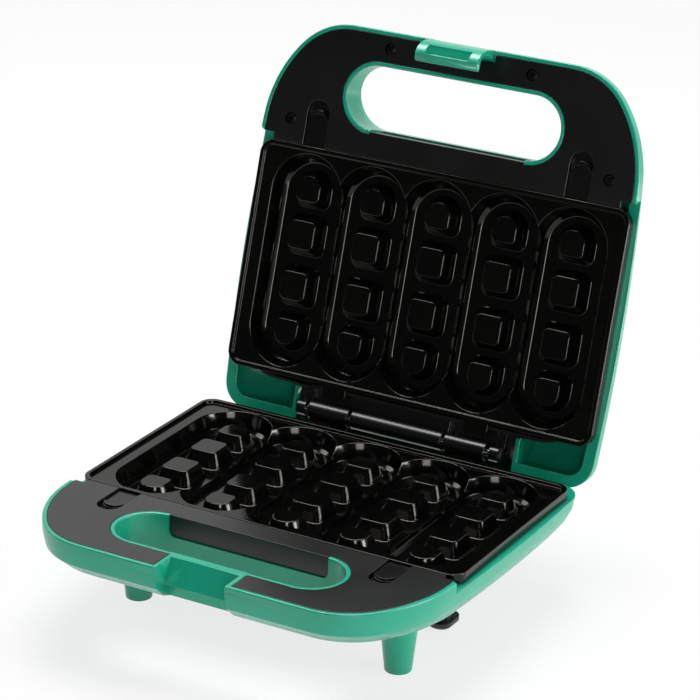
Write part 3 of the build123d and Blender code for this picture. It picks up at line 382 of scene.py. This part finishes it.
# %% [markdown]
# ## The lid's front shoulder
#
# Where the lid's rim turns into its rounded top, the CAD shell is too thin and leaves a slit along
# the shoulder, which the real moulding doesn't have. A band closes it. The band could be drawn by
# hand, but it would gape as soon as the shell changed, so the slit's two rims are measured first.
# They are the sharp edges between the outer skin and the slit's walls. The outer rim meets
# the upright wall of the front rim. The inner one meets the flat underside of the lip, and lies at
# one level. Both start at the notch for the latch, and they meet at the lid's side.

# %% Rims of the slit
RIM_TURN = radians(30.0)
SLIT_CURVE_START = 60.0
SLIT_SIDE_END = -46.4
OUTER_RIM_LEVELS = (-3.02, -1.3)
LIP_LEVEL = -3.0
LEVEL_SLACK = 0.02
# How far a face looks out of the lid's inner side: the skin looks away, a wall sideways, a lip straight out.
SKIN_LIFT, WALL_LIFT, LIP_LIFT = -0.5, 0.1, 0.9


def slit_rims():
    """The curved stretch of the slit's outer and inner rims on the right, each as a chain of places."""
    shape = bmesh.new()
    shape.from_mesh(frame["nodes"]["lid_shell"].data)
    bmesh.ops.remove_doubles(shape, verts=shape.verts, dist=LOOSE_CORNER_GAP)
    outer, inner = {}, {}
    for edge in shape.edges:
        places = [(corner, from_pin(corner.co)) for corner in edge.verts]
        if edge.calc_face_angle(0.0) <= RIM_TURN or any(place.x < SLIT_CURVE_START for _, place in places):
            continue
        skins, walls = [], []
        for face in edge.link_faces:
            (skins if face.normal.dot(OUT_OF_LID) < SKIN_LIFT else walls).append(face.normal)
        if len(skins) != 1 or len(walls) != 1:
            continue
        lift, lean = walls[0].dot(OUT_OF_LID), walls[0].dot(LID_FORWARD)
        for corner, place in places:
            if place.y < SLIT_SIDE_END:
                continue
            if abs(lift) < WALL_LIFT and lean < 0 and OUTER_RIM_LEVELS[0] < place.z < OUTER_RIM_LEVELS[1]:
                outer[corner.index] = place
            elif lift > LIP_LIFT and abs(place.z - LIP_LEVEL) < LEVEL_SLACK:
                inner[corner.index] = place
    shape.free()
    return [sorted(rim.values(), key=lambda place: place.x) for rim in (outer, inner)]


outer_rim, inner_rim = slit_rims()
print("places on the slit's rims:", len(outer_rim), len(inner_rim))

# %% [markdown]
# The band is a closed strip along the slit. Each of its outlines starts at a corner of the outer rim
# and at the place as far along the inner rim, then goes deeper and reaches under both rims. It lies
# a hair below the skin, and a Boolean joins it to the shell. From the latch's notch to the start of
# the curve both rims are straight.

# %% Shoulder band
BAND_START = 20.6
BAND_END_SHARES = (0.999, 1.0)
BAND_SINK = 0.02
BAND_THICKNESS = 1.6
BAND_REACH = 0.6


def shares(chain):
    """How far along a chain each of its places lies, as a share of its length."""
    travelled = [0.0]
    for near, far in zip(chain, chain[1:]):
        travelled.append(travelled[-1] + (far - near).length)
    return [distance / travelled[-1] for distance in travelled]


def place_at(chain, share):
    """The place at a share of a chain's length."""
    marks = shares(chain)
    i = max(k for k in range(len(chain) - 1) if marks[k] <= share)
    return chain[i].lerp(chain[i + 1], (share - marks[i]) / (marks[i + 1] - marks[i]))


def band_outline(side, outer, inner):
    """The band's outline between two places on the rims, on the right (1) or the left (-1)."""
    low = by_pin(side * outer.x, outer.y, outer.z + BAND_SINK)
    high = by_pin(side * inner.x, inner.y, inner.z + BAND_SINK)
    reach = (high - low).normalized() * BAND_REACH * MM
    depth = OUT_OF_LID * BAND_THICKNESS * MM
    return [low, high, high + depth + reach, low + depth - reach]


pair_shares = [(share, share) for share in shares(outer_rim)[:-1]] + [BAND_END_SHARES]
rim_pairs = [(place_at(outer_rim, outer_share), place_at(inner_rim, inner_share))
             for outer_share, inner_share in pair_shares]
rim_pairs.insert(0, tuple(Vector((BAND_START, place.y, place.z)) for place in rim_pairs[0]))
band_sides = [[band_outline(side, *pair) for pair in rim_pairs] for side in (1, -1)]
shoulder_band = skin("shoulder_band", band_sides)
print("outlines of the band on each side:", len(rim_pairs))

# %% [markdown]
# ## Shells, frames and plates
#
# The green halves already have their rounded rims, so only their remaining corners are eased. The
# black frames are crisper. The plates get a radius of half a millimetre on every pocket mouth and
# stud, where the coating thickens and shines.

# %% Shells, frames and plates
soften("base_shell", "base", "green_shell", green_abs, 0.4, 0.9)
soften("lid_shell", "lid", "green_shell", green_abs, 0.4, 0.9, [(shoulder_band, "UNION")])
for half in ("base", "lid"):
    soften(half + "_frame", half, "black_frame", black_abs, 0.3, 0.65)
    soften(half + "_plate", half, "nonstick", ptfe, 0.5, 0.0)

# %% [markdown]
# The four release slides let the plates out. Each rides on a body of its own name, because it moves.

# %% Release slides
for half in ("base", "lid"):
    for side in ("left", "right"):
        name = half + "_release_" + side
        soften(name, name, "button_black", slide_abs, 0.2, 0.45)

# %% [markdown]
# ## The latch
#
# The latch is a curved plate with a hook, and a deep finger scoop lies where the face curves over.
# The CAD part has a shallow scoop on the flat of the face instead. So the copy here gets a filler
# that follows the outer face, and then a block with a slanting floor is taken out by a Boolean. The
# filler's front is measured by rays that meet the face beside the CAD scoop. The new edges are eased
# like all others. Outlines are pairs of forward and outward distances from the pin.

# %% Latch
BESIDE_SCOOP = 17.2
IN_FRONT_OF_LATCH = 20.0
FILLER_LEVELS = (3.5, 5.0, 7.0, 9.0, 11.0, 13.0, 15.0, 16.8)
FILLER_BACK = 2.9
FILLER_SINK = 0.03
FILLER_HALF_WIDTH = 15.6
SCOOP_OUTLINE = [(7.0, 18.3), (1.6, 18.3), (-0.2, 19.2), (-1.9, 19.3), (-2.2, 24.0), (7.0, 24.0)]
SCOOP_HALF_WIDTH = 13.0

latch_shape = merged_copy("latch_hook")
latch_faces = BVHTree.FromBMesh(latch_shape)
latch_shape.free()
outer_face = []
for level in FILLER_LEVELS:
    hit = latch_faces.ray_cast(by_pin(BESIDE_SCOOP, IN_FRONT_OF_LATCH, level), -LID_FORWARD)[0]
    outer_face.append((from_pin(hit).y - FILLER_SINK, level))
print("the latch's outer face:", [round(forward, 2) for forward, level in outer_face])
filler_outline = outer_face + [(FILLER_BACK, FILLER_LEVELS[-1]), (FILLER_BACK, FILLER_LEVELS[0])]
filler = crossbar("latch_filler", filler_outline, FILLER_HALF_WIDTH)
scoop = crossbar("latch_scoop", SCOOP_OUTLINE, SCOOP_HALF_WIDTH)
soften("latch_hook", "latch", "green_shell", green_abs, 0.35, 0.9, [(filler, "UNION"), (scoop, "DIFFERENCE")])

# %% [markdown]
# A black tongue, level with the lid's black deck, closes the slot behind the latch's barrel.

# %% Tongue behind the latch
TONGUE_OUTLINE = [(-0.7, 5.0), (-4.4, 5.0), (-4.4, 4.0), (-0.7, 4.0)]
TONGUE_HALF_WIDTH = 19.8

tongue = crossbar("latch_tongue", TONGUE_OUTLINE, TONGUE_HALF_WIDTH)
settle(tongue, "lid", "black_trim", black_abs)

# %% [markdown]
# ## Trim
#
# The cord is wound round two cleats under the base and leaves through a bushing at the rear. Both are
# moulded in the frames' black plastic. The lid's two lamps have small caps with hardly any radius.

# %% Trim
soften("cord_cleats", "base", "black_trim", black_abs, 0.5, 1.0)
soften("cord_gland", "base", "black_trim", black_abs, 0.4, 0.9)
soften("lamp_power", "lid", "lamp_red", lamp_red, 0.1, 0.3)
soften("lamp_ready", "lid", "lamp_green", lamp_green, 0.1, 0.3)

# %% [markdown]
# ## Geometry Nodes, and where the pieces go
#
# Screws, heater tubes and rubber pads repeat or follow a path, so each is grown by a node tree with
# its sizes as named inputs. The trees need to know where to grow. That is measured on the CAD nodes
# themselves: each loose island of a node gives the middle of its outer end.

# %% Tools for trees
def grow_tree(name, inputs):
    """A new geometry tree with one mesh going in and one coming out, and named size inputs."""
    tree = bpy.data.node_groups.new(name, "GeometryNodeTree")
    tree.interface.new_socket("Geometry", in_out="INPUT", socket_type="NodeSocketGeometry")
    for label, (kind, value) in inputs.items():
        socket = tree.interface.new_socket(label, in_out="INPUT", socket_type="NodeSocket" + kind)
        if value is not None:
            socket.default_value = value
    tree.interface.new_socket("Geometry", in_out="OUTPUT", socket_type="NodeSocketGeometry")
    return tree, add(tree, "NodeGroupInput").outputs


def lowered(tree, geometry, length, share):
    """A shape lowered by a share of a length."""
    distance = add(tree, "ShaderNodeMath", {0: length, 1: -share}, operation="MULTIPLY")
    drop = add(tree, "ShaderNodeCombineXYZ", {"Z": distance.outputs[0]})
    return add(tree, "GeometryNodeTransform", {"Geometry": geometry, "Translation": drop.outputs[0]}).outputs[0]


def finish_tree(tree, geometry, finish):
    """Ends a tree: its instances are made real and take the material."""
    real = add(tree, "GeometryNodeRealizeInstances", {"Geometry": geometry})
    dressed = add(tree, "GeometryNodeSetMaterial", {"Geometry": real.outputs["Geometry"], "Material": finish})
    add(tree, "NodeGroupOutput", {"Geometry": dressed.outputs["Geometry"]})


def grow(name, seeds, tree, values, body, slot, material, *nodes):
    """Runs a tree on a seed mesh and keeps the result as a plain piece."""
    piece = show(name, seeds)
    modifier = piece.modifiers.new("grown", "NODES")
    modifier.node_group = tree
    for item in tree.interface.items_tree:
        if item.in_out == "INPUT" and item.name in values:
            modifier[item.identifier] = values[item.name]
    return settle(piece, body, slot, material, *nodes)


# %% Tools for measuring
END_DEPTH = 0.05 * MM


def islands(shape):
    """The loose islands of a shape, each as a set of its corners."""
    waiting, found = set(shape.verts), []
    while waiting:
        island, front = set(), [waiting.pop()]
        while front:
            corner = front.pop()
            island.add(corner)
            for edge in corner.link_edges:
                near = edge.other_vert(corner)
                if near in waiting:
                    waiting.discard(near)
                    front.append(near)
        found.append(island)
    return found


def outer_ends(node, outward):
    """For each loose island of a node: the middle of its furthest end, and its length, along outward."""
    shape = merged_copy(node)
    shape.verts.ensure_lookup_table()
    ends = []
    for island in islands(shape):
        reach = [corner.co.dot(outward) for corner in island]
        top = [corner.co for corner in island if corner.co.dot(outward) > max(reach) - END_DEPTH]
        ends.append((sum(top, Vector()) / len(top), max(reach) - min(reach)))
    shape.free()
    return ends


def seed_mesh(name, places, edges=()):
    """A mesh of bare points, or of points joined by edges."""
    mesh = bpy.data.meshes.new(name)
    mesh.from_pydata([tuple(place) for place in places], list(edges), [])
    return mesh


# %% [markdown]
# ## Screws
#
# The frames are held by pan-head screws with a cross recess. One head is a short cylinder under a
# cone, cut by two crossed blocks, and a thin shank hangs below it. Screws could be modelled once and
# copied by hand, but a tree places all of them from one description. The shapes are made round the
# origin and lowered, so that the seed point lies at the top of the head.

# %% Screw head
SCREW_HEAD_HEIGHT = 1.3 * MM
RIM_SHARE, DOME_SHARE = 0.55, 0.45
RIM_LOWERED, DOME_LOWERED = 0.72, 0.45
DOME_TOP_SHARE = 0.72
RECESS_LENGTH_SHARE, RECESS_DEPTH_SHARE = 1.1, 1.2

screw_tree, given = grow_tree("pan_head_screws", {
    "Head Radius": ("Float", 3.0 * MM), "Head Height": ("Float", SCREW_HEAD_HEIGHT),
    "Shank Radius": ("Float", 1.5 * MM), "Shank Length": ("Float", 4.0 * MM),
    "Recess Width": ("Float", 0.8 * MM), "Outward": ("Vector", (0.0, 0.0, 1.0)),
    "Seed": ("Int", 7), "Finish": ("Material", None)})
height, radius = given["Head Height"], given["Head Radius"]
rim_depth = add(screw_tree, "ShaderNodeMath", {0: height, 1: RIM_SHARE}, operation="MULTIPLY")
rim = add(screw_tree, "GeometryNodeMeshCylinder", {
    "Vertices": 32, "Side Segments": 1, "Radius": radius, "Depth": rim_depth.outputs[0]})
dome_depth = add(screw_tree, "ShaderNodeMath", {0: height, 1: DOME_SHARE}, operation="MULTIPLY")
dome_top = add(screw_tree, "ShaderNodeMath", {0: radius, 1: DOME_TOP_SHARE}, operation="MULTIPLY")
dome = add(screw_tree, "GeometryNodeMeshCone", {
    "Vertices": 32, "Radius Bottom": radius, "Radius Top": dome_top.outputs[0], "Depth": dome_depth.outputs[0]})
head = add(screw_tree, "GeometryNodeMeshBoolean", {"Mesh 2": [
    lowered(screw_tree, rim.outputs["Mesh"], height, RIM_LOWERED),
    lowered(screw_tree, dome.outputs["Mesh"], height, DOME_LOWERED)]}, operation="UNION", solver="EXACT")
recess_length = add(screw_tree, "ShaderNodeMath", {0: radius, 1: RECESS_LENGTH_SHARE}, operation="MULTIPLY")
recess_depth = add(screw_tree, "ShaderNodeMath", {0: height, 1: RECESS_DEPTH_SHARE}, operation="MULTIPLY")
recess_size = add(screw_tree, "ShaderNodeCombineXYZ", {
    "X": recess_length.outputs[0], "Y": given["Recess Width"], "Z": recess_depth.outputs[0]})
recess = add(screw_tree, "GeometryNodeMeshCube", {"Size": recess_size.outputs[0]})
cross_recess = add(screw_tree, "GeometryNodeTransform", {
    "Geometry": recess.outputs["Mesh"], "Rotation": (0.0, 0.0, radians(90))})
recess_arms = [recess.outputs["Mesh"], cross_recess.outputs["Geometry"]]
cut_head = add(screw_tree, "GeometryNodeMeshBoolean", {
    "Mesh 1": head.outputs["Mesh"], "Mesh 2": recess_arms}, operation="DIFFERENCE", solver="EXACT")
print("nodes for the head:", len(screw_tree.nodes))

# %% [markdown]
# The finished screw is placed on every seed point, turned to point out of its half. Each one also
# turns a little about its own axis, by a seeded random angle, since nobody lines screws up.

# %% Whole screw
LARGEST_TWIST = 1.5

shank = add(screw_tree, "GeometryNodeMeshCylinder", {
    "Vertices": 20, "Radius": given["Shank Radius"], "Depth": given["Shank Length"]})
hanging_shank = lowered(screw_tree, shank.outputs["Mesh"], given["Shank Length"], 0.5)
screw = add(screw_tree, "GeometryNodeJoinGeometry", {"Geometry": [
    cut_head.outputs["Mesh"], lowered(screw_tree, hanging_shank, height, 1.0)]})
aimed = add(screw_tree, "FunctionNodeAlignRotationToVector", {"Vector": given["Outward"]}, axis="Z")
twist = add(screw_tree, "FunctionNodeRandomValue", {
    "Min": 0.0, "Max": LARGEST_TWIST, "Seed": given["Seed"]}, data_type="FLOAT")
spin = add(screw_tree, "FunctionNodeAxisAngleToRotation", {
    "Axis": (0.0, 0.0, 1.0), "Angle": twist.outputs["Value"]})
turned = add(screw_tree, "FunctionNodeRotateRotation", {
    "Rotation": aimed.outputs[0], "Rotate By": spin.outputs[0]}, rotation_space="LOCAL")
placed = add(screw_tree, "GeometryNodeInstanceOnPoints", {
    "Points": given["Geometry"], "Instance": screw.outputs["Geometry"], "Rotation": turned.outputs[0]})
finish_tree(screw_tree, placed.outputs["Instances"], given["Finish"])
print("nodes for the whole screw:", len(screw_tree.nodes))

# %% Screws in both halves
for half, outward in (("base", -UP), ("lid", OUT_OF_LID)):
    ends = outer_ends(half + "_screws", outward)
    seeds = seed_mesh(half + "_screw_points", [end for end, length in ends])
    grow(half + "_screw_set", seeds, screw_tree, {
        "Outward": outward, "Shank Length": ends[0][1] - SCREW_HEAD_HEIGHT, "Finish": black_steel},
        half, "screw_steel", black_steel, half + "_screws")

# %% [markdown]
# ## Heater tubes
#
# Each half is heated by a round steel tube bent into one loop, with its two ends turned down to the
# terminals. It could be built from straight cylinders and elbows. But a tube follows a path, so the
# path is all that is drawn: eight corners, rounded by Fillet Curve, with a circle swept along them.
# The tree also closes the two ends.

# %% Tube tree
TUBE_RADIUS = 3.2 * MM
TUBE_BEND_RADIUS = 14.0 * MM

tube_tree, given = grow_tree("bent_heater_tube", {
    "Tube Radius": ("Float", TUBE_RADIUS), "Bend Radius": ("Float", TUBE_BEND_RADIUS),
    "Finish": ("Material", None)})
path = add(tube_tree, "GeometryNodeMeshToCurve", {"Mesh": given["Geometry"]})
bent = add(tube_tree, "GeometryNodeFilletCurve", {
    "Curve": path.outputs["Curve"], "Radius": given["Bend Radius"], "Count": 8, "Limit Radius": True},
    mode="POLY")
ring = add(tube_tree, "GeometryNodeCurvePrimitiveCircle", {"Resolution": 20, "Radius": given["Tube Radius"]})
tube = add(tube_tree, "GeometryNodeCurveToMesh", {
    "Curve": bent.outputs["Curve"], "Profile Curve": ring.outputs["Curve"], "Fill Caps": True})
smooth = add(tube_tree, "GeometryNodeSetShadeSmooth", {"Geometry": tube.outputs["Mesh"]})
finish_tree(tube_tree, smooth.outputs["Geometry"], given["Finish"])
print("nodes for the tube:", len(tube_tree.nodes))

# %% [markdown]
# The path's corners come from the CAD tube: its box gives the loop's front, rear, side and level, less
# the tube's own radius, and the depth that the ends reach.

# %% Heater tubes
CAD_TUBE_RADIUS = 3.25 * MM
TERMINAL_OFFSET = 13.0 * MM


def tube_path(half, along, outward):
    """The tube's corners, measured on the CAD tube, as a chain of edges."""
    shape = merged_copy(half + "_heating_element")
    points = [corner.co.copy() for corner in shape.verts]
    shape.free()
    lengthways = [point.dot(along) for point in points]
    upwards = [point.dot(outward) for point in points]
    front, rear = min(lengthways) + CAD_TUBE_RADIUS, max(lengthways) - CAD_TUBE_RADIUS
    ends, level = min(upwards), max(upwards) - CAD_TUBE_RADIUS
    side = max(point.x for point in points) - CAD_TUBE_RADIUS
    corners = [(-TERMINAL_OFFSET, rear, ends), (-TERMINAL_OFFSET, rear, level)]
    corners += [(-side, rear, level), (-side, front, level)]
    corners += [(-x, y, z) for x, y, z in reversed(corners)]
    places = [RIGHT * x + along * y + outward * z for x, y, z in corners]
    return seed_mesh(half + "_tube_path", places, [(i, i + 1) for i in range(len(places) - 1)])


for half, along, outward in (("base", REARWARD, UP), ("lid", -LID_FORWARD, OUT_OF_LID)):
    grow(half + "_heater_tube", tube_path(half, along, outward), tube_tree, {
        "Tube Radius": TUBE_RADIUS, "Bend Radius": TUBE_BEND_RADIUS, "Finish": steel_tube},
        half, "element_steel", steel_tube, half + "_heating_element")

# %% [markdown]
# ## Rubber pads
#
# A rubber plug fills the end of each leg. Its underside has concentric ribs that grip the worktop.
# The tree stacks rings of rising size on a short cylinder and puts one such pad on each leg.

# %% Pad tree
PLUG_SHARE, PLUG_RAISED = 0.85, 0.575
LARGEST_RIB_SHARE = 0.93

pad_tree, given = grow_tree("ribbed_foot_pads", {
    "Pad Radius": ("Float", 5.0 * MM), "Pad Height": ("Float", 2.0 * MM),
    "Rib Radius": ("Float", 0.3 * MM), "Ribs": ("Int", 4), "Finish": ("Material", None)})
plug_depth = add(pad_tree, "ShaderNodeMath", {0: given["Pad Height"], 1: PLUG_SHARE}, operation="MULTIPLY")
plug = add(pad_tree, "GeometryNodeMeshCylinder", {
    "Vertices": 40, "Radius": given["Pad Radius"], "Depth": plug_depth.outputs[0]})
marks = add(pad_tree, "GeometryNodeMeshLine", {"Count": given["Ribs"], "Offset": (0.0, 0.0, 0.0)})
index = add(pad_tree, "GeometryNodeInputIndex")
number = add(pad_tree, "ShaderNodeMath", {0: index.outputs[0], 1: 1.0}, operation="ADD")
size = add(pad_tree, "ShaderNodeMath", {0: number.outputs[0], 1: given["Ribs"]}, operation="DIVIDE")
ring_size = add(pad_tree, "ShaderNodeCombineXYZ", {"X": size.outputs[0], "Y": size.outputs[0], "Z": 1.0})
largest = add(pad_tree, "ShaderNodeMath", {0: given["Pad Radius"], 1: LARGEST_RIB_SHARE}, operation="MULTIPLY")
ring = add(pad_tree, "GeometryNodeCurvePrimitiveCircle", {"Resolution": 40, "Radius": largest.outputs[0]})
rings = add(pad_tree, "GeometryNodeInstanceOnPoints", {
    "Points": marks.outputs["Mesh"], "Instance": ring.outputs["Curve"], "Scale": ring_size.outputs[0]})
lines = add(pad_tree, "GeometryNodeRealizeInstances", {"Geometry": rings.outputs["Instances"]})
bead = add(pad_tree, "GeometryNodeCurvePrimitiveCircle", {"Resolution": 8, "Radius": given["Rib Radius"]})
ribs = add(pad_tree, "GeometryNodeCurveToMesh", {
    "Curve": lines.outputs["Geometry"], "Profile Curve": bead.outputs["Curve"]})
pad = add(pad_tree, "GeometryNodeJoinGeometry", {"Geometry": [
    lowered(pad_tree, plug.outputs["Mesh"], given["Pad Height"], -PLUG_RAISED),
    lowered(pad_tree, ribs.outputs["Mesh"], given["Rib Radius"], -1.0)]})
placed = add(pad_tree, "GeometryNodeInstanceOnPoints", {
    "Points": given["Geometry"], "Instance": pad.outputs["Geometry"]})
finish_tree(pad_tree, placed.outputs["Instances"], given["Finish"])
print("nodes for the pad:", len(pad_tree.nodes))

# %% Pads
ends = outer_ends("foot_pads", -UP)
grow("foot_pad_set", seed_mesh("pad_points", [end for end, length in ends]), pad_tree, {
    "Pad Height": ends[0][1], "Finish": rubber}, "base", "pad_rubber", rubber, "foot_pads")

# %% [markdown]
# ## Parts inside the closed halves
#
# These keep their CAD shapes. They are seen only if somebody takes the cooker apart, but each still
# gets the metal or ceramic it is really made of.

# %% Inner parts
inner_finish = {
    "base_thermostat": bright_steel, "base_thermal_fuse": bright_steel, "base_terminal_block": steatite,
    "hinge_pin": bright_steel, "latch_pin": black_steel, "lid_lamp_holder": black_abs}
for half in ("base", "lid"):
    inner_finish[half + "_element_clips"] = tray_sheet
    inner_finish[half + "_reflector"] = tray_sheet
    inner_finish[half + "_release_springs"] = bright_steel
for name, material in inner_finish.items():
    finishes = frame["nodes"][name].data.materials
    finishes.clear()
    finishes.append(material)
print("inner parts finished:", len(inner_finish))

# %% [markdown]
# ## The floor
#
# A pale painted floor runs under the cooker and fades to white. It takes the cooker's shadow, but for
# the camera and in reflections most of it is a plain glow, so that it stays pale far from the lamps.

# %% Floor
FLOOR_SIZE = 12.0
FLOOR_GLOW_SHARE = 0.77
WHITE = (1.0, 1.0, 1.0, 1.0)

bpy.ops.mesh.primitive_plane_add(size=FLOOR_SIZE)
floor = bpy.context.object
floor.name = "studio_floor"
floor_paint = bpy.data.materials.new("painted_studio_floor_white")
floor_paint.use_nodes = True
tree = floor_paint.node_tree
shader = tree.nodes["Principled BSDF"]
shader.inputs["Base Color"].default_value = paint("#F2F2F0")
shader.inputs["Roughness"].default_value = 0.9
rays = add(tree, "ShaderNodeLightPath").outputs
direct = add(tree, "ShaderNodeMath", {0: rays["Is Camera Ray"], 1: rays["Is Glossy Ray"]}, operation="MAXIMUM")
seen = add(tree, "ShaderNodeMath", {0: direct.outputs[0], 1: rays["Is Transmission Ray"]}, operation="MAXIMUM")
glow = add(tree, "ShaderNodeEmission", {"Color": WHITE, "Strength": 1.0})
glow_share = add(tree, "ShaderNodeMath", {0: seen.outputs[0], 1: FLOOR_GLOW_SHARE}, operation="MULTIPLY")
mixed = add(tree, "ShaderNodeMixShader", {
    0: glow_share.outputs[0], 1: shader.outputs["BSDF"], 2: glow.outputs["Emission"]})
tree.links.new(mixed.outputs["Shader"], tree.nodes["Material Output"].inputs["Surface"])
floor.data.materials.append(floor_paint)
print("floor nodes:", len(tree.nodes))

# %% [markdown]
# ## The air around it
#
# The world is white for the camera. In reflections it is white behind the cooker and low down, but
# darkens towards the front and overhead, which keeps black plastic and coating black. Black cloths
# round the cooker would do the same, but they would also show. The air sheds less light than it
# shows, so that colours come out as they are written.

# %% World
SHED_LIGHT = 0.15
REARWARD_FADE = {"From Min": -0.2, "From Max": 0.6, "To Min": 0.06, "To Max": 1.0}
UPWARD_FADE = {"From Min": 0.2, "From Max": 0.7, "To Min": 1.0, "To Max": 0.35}

world = bpy.data.worlds.new("studio_air")
bpy.context.scene.world = world
world.use_nodes = True
tree = world.node_tree
tree.nodes.clear()
rays = add(tree, "ShaderNodeLightPath").outputs
toward = add(tree, "ShaderNodeSeparateXYZ", {"Vector": add(tree, "ShaderNodeTexCoord").outputs["Generated"]})
behind = add(tree, "ShaderNodeMapRange", {"Value": toward.outputs["Y"], **REARWARD_FADE})
low_down = add(tree, "ShaderNodeMapRange", {"Value": toward.outputs["Z"], **UPWARD_FADE})
mirrored = add(tree, "ShaderNodeMath", {
    0: behind.outputs["Result"], 1: low_down.outputs["Result"]}, operation="MULTIPLY")
clear_view = add(tree, "ShaderNodeMath", {
    0: rays["Is Camera Ray"], 1: rays["Is Transmission Ray"]}, operation="MAXIMUM")
shed = add(tree, "ShaderNodeMix", {
    "Factor": rays["Is Glossy Ray"], "A": SHED_LIGHT, "B": mirrored.outputs[0]}, data_type="FLOAT")
level = add(tree, "ShaderNodeMix", {
    "Factor": clear_view.outputs[0], "A": shed.outputs["Result"], "B": 1.0}, data_type="FLOAT")
air = add(tree, "ShaderNodeBackground", {"Color": WHITE, "Strength": level.outputs["Result"]})
add(tree, "ShaderNodeOutputWorld", {"Surface": air.outputs["Background"]})
print("world nodes:", len(tree.nodes))

# %% [markdown]
# ## Lamps and reflection cards
#
# Four soft square lamps stand above, to the right, in front and to the left. A studio also has
# bright cards where a shiny black part should show a highlight. A card could be a glowing plane, but
# that would light everything. Here it is a lamp that spares matte surfaces, so it draws its
# highlight and sheds no light on them.

# %% Lamps
def softbox(name, place, aim, size, watts, lights_all=True):
    """A square area lamp turned to face a point, or only a bright card for reflections."""
    data = bpy.data.lights.new(name, "AREA")
    data.size = size
    data.energy = watts
    lamp = show(name, data)
    lamp.location = place
    lamp.rotation_euler = (Vector(aim) - Vector(place)).to_track_quat("-Z", "Y").to_euler()
    lamp.visible_camera = False
    lamp.visible_diffuse = lights_all


softbox("softbox_top", (-0.2, 0.5, 1.6), (0.0, 0.0, 0.1), 1.0, 27.0)
softbox("softbox_right", (1.5, 0.2, 0.5), (0.0, 0.0, 0.12), 0.8, 12.0)
softbox("softbox_front_right", (0.85, -1.35, 0.5), (0.0, 0.0, 0.1), 0.35, 3.6)
softbox("softbox_left", (-1.3, 0.2, 1.0), (0.0, 0.0, 0.1), 0.5, 3.0)
softbox("card_top_left", (-0.8, 0.25, 1.6), (0.0, 0.0, 0.15), 0.6, 10.0, lights_all=False)
softbox("card_floor_right", (0.6, 0.42, 0.004), (0.6, 0.42, 1.0), 0.6, 6.0, lights_all=False)
softbox("card_right_low", (0.9, 0.12, 0.14), (0.0, 0.0, 0.2), 0.3, 3.0, lights_all=False)
softbox("card_front_right", (0.72, -1.08, 0.3), (0.0, 0.0, 0.06), 0.5, 4.5, lights_all=False)
bpy.context.scene.view_settings.view_transform = "Standard"
print("lamps and cards:", len(bpy.data.lights))
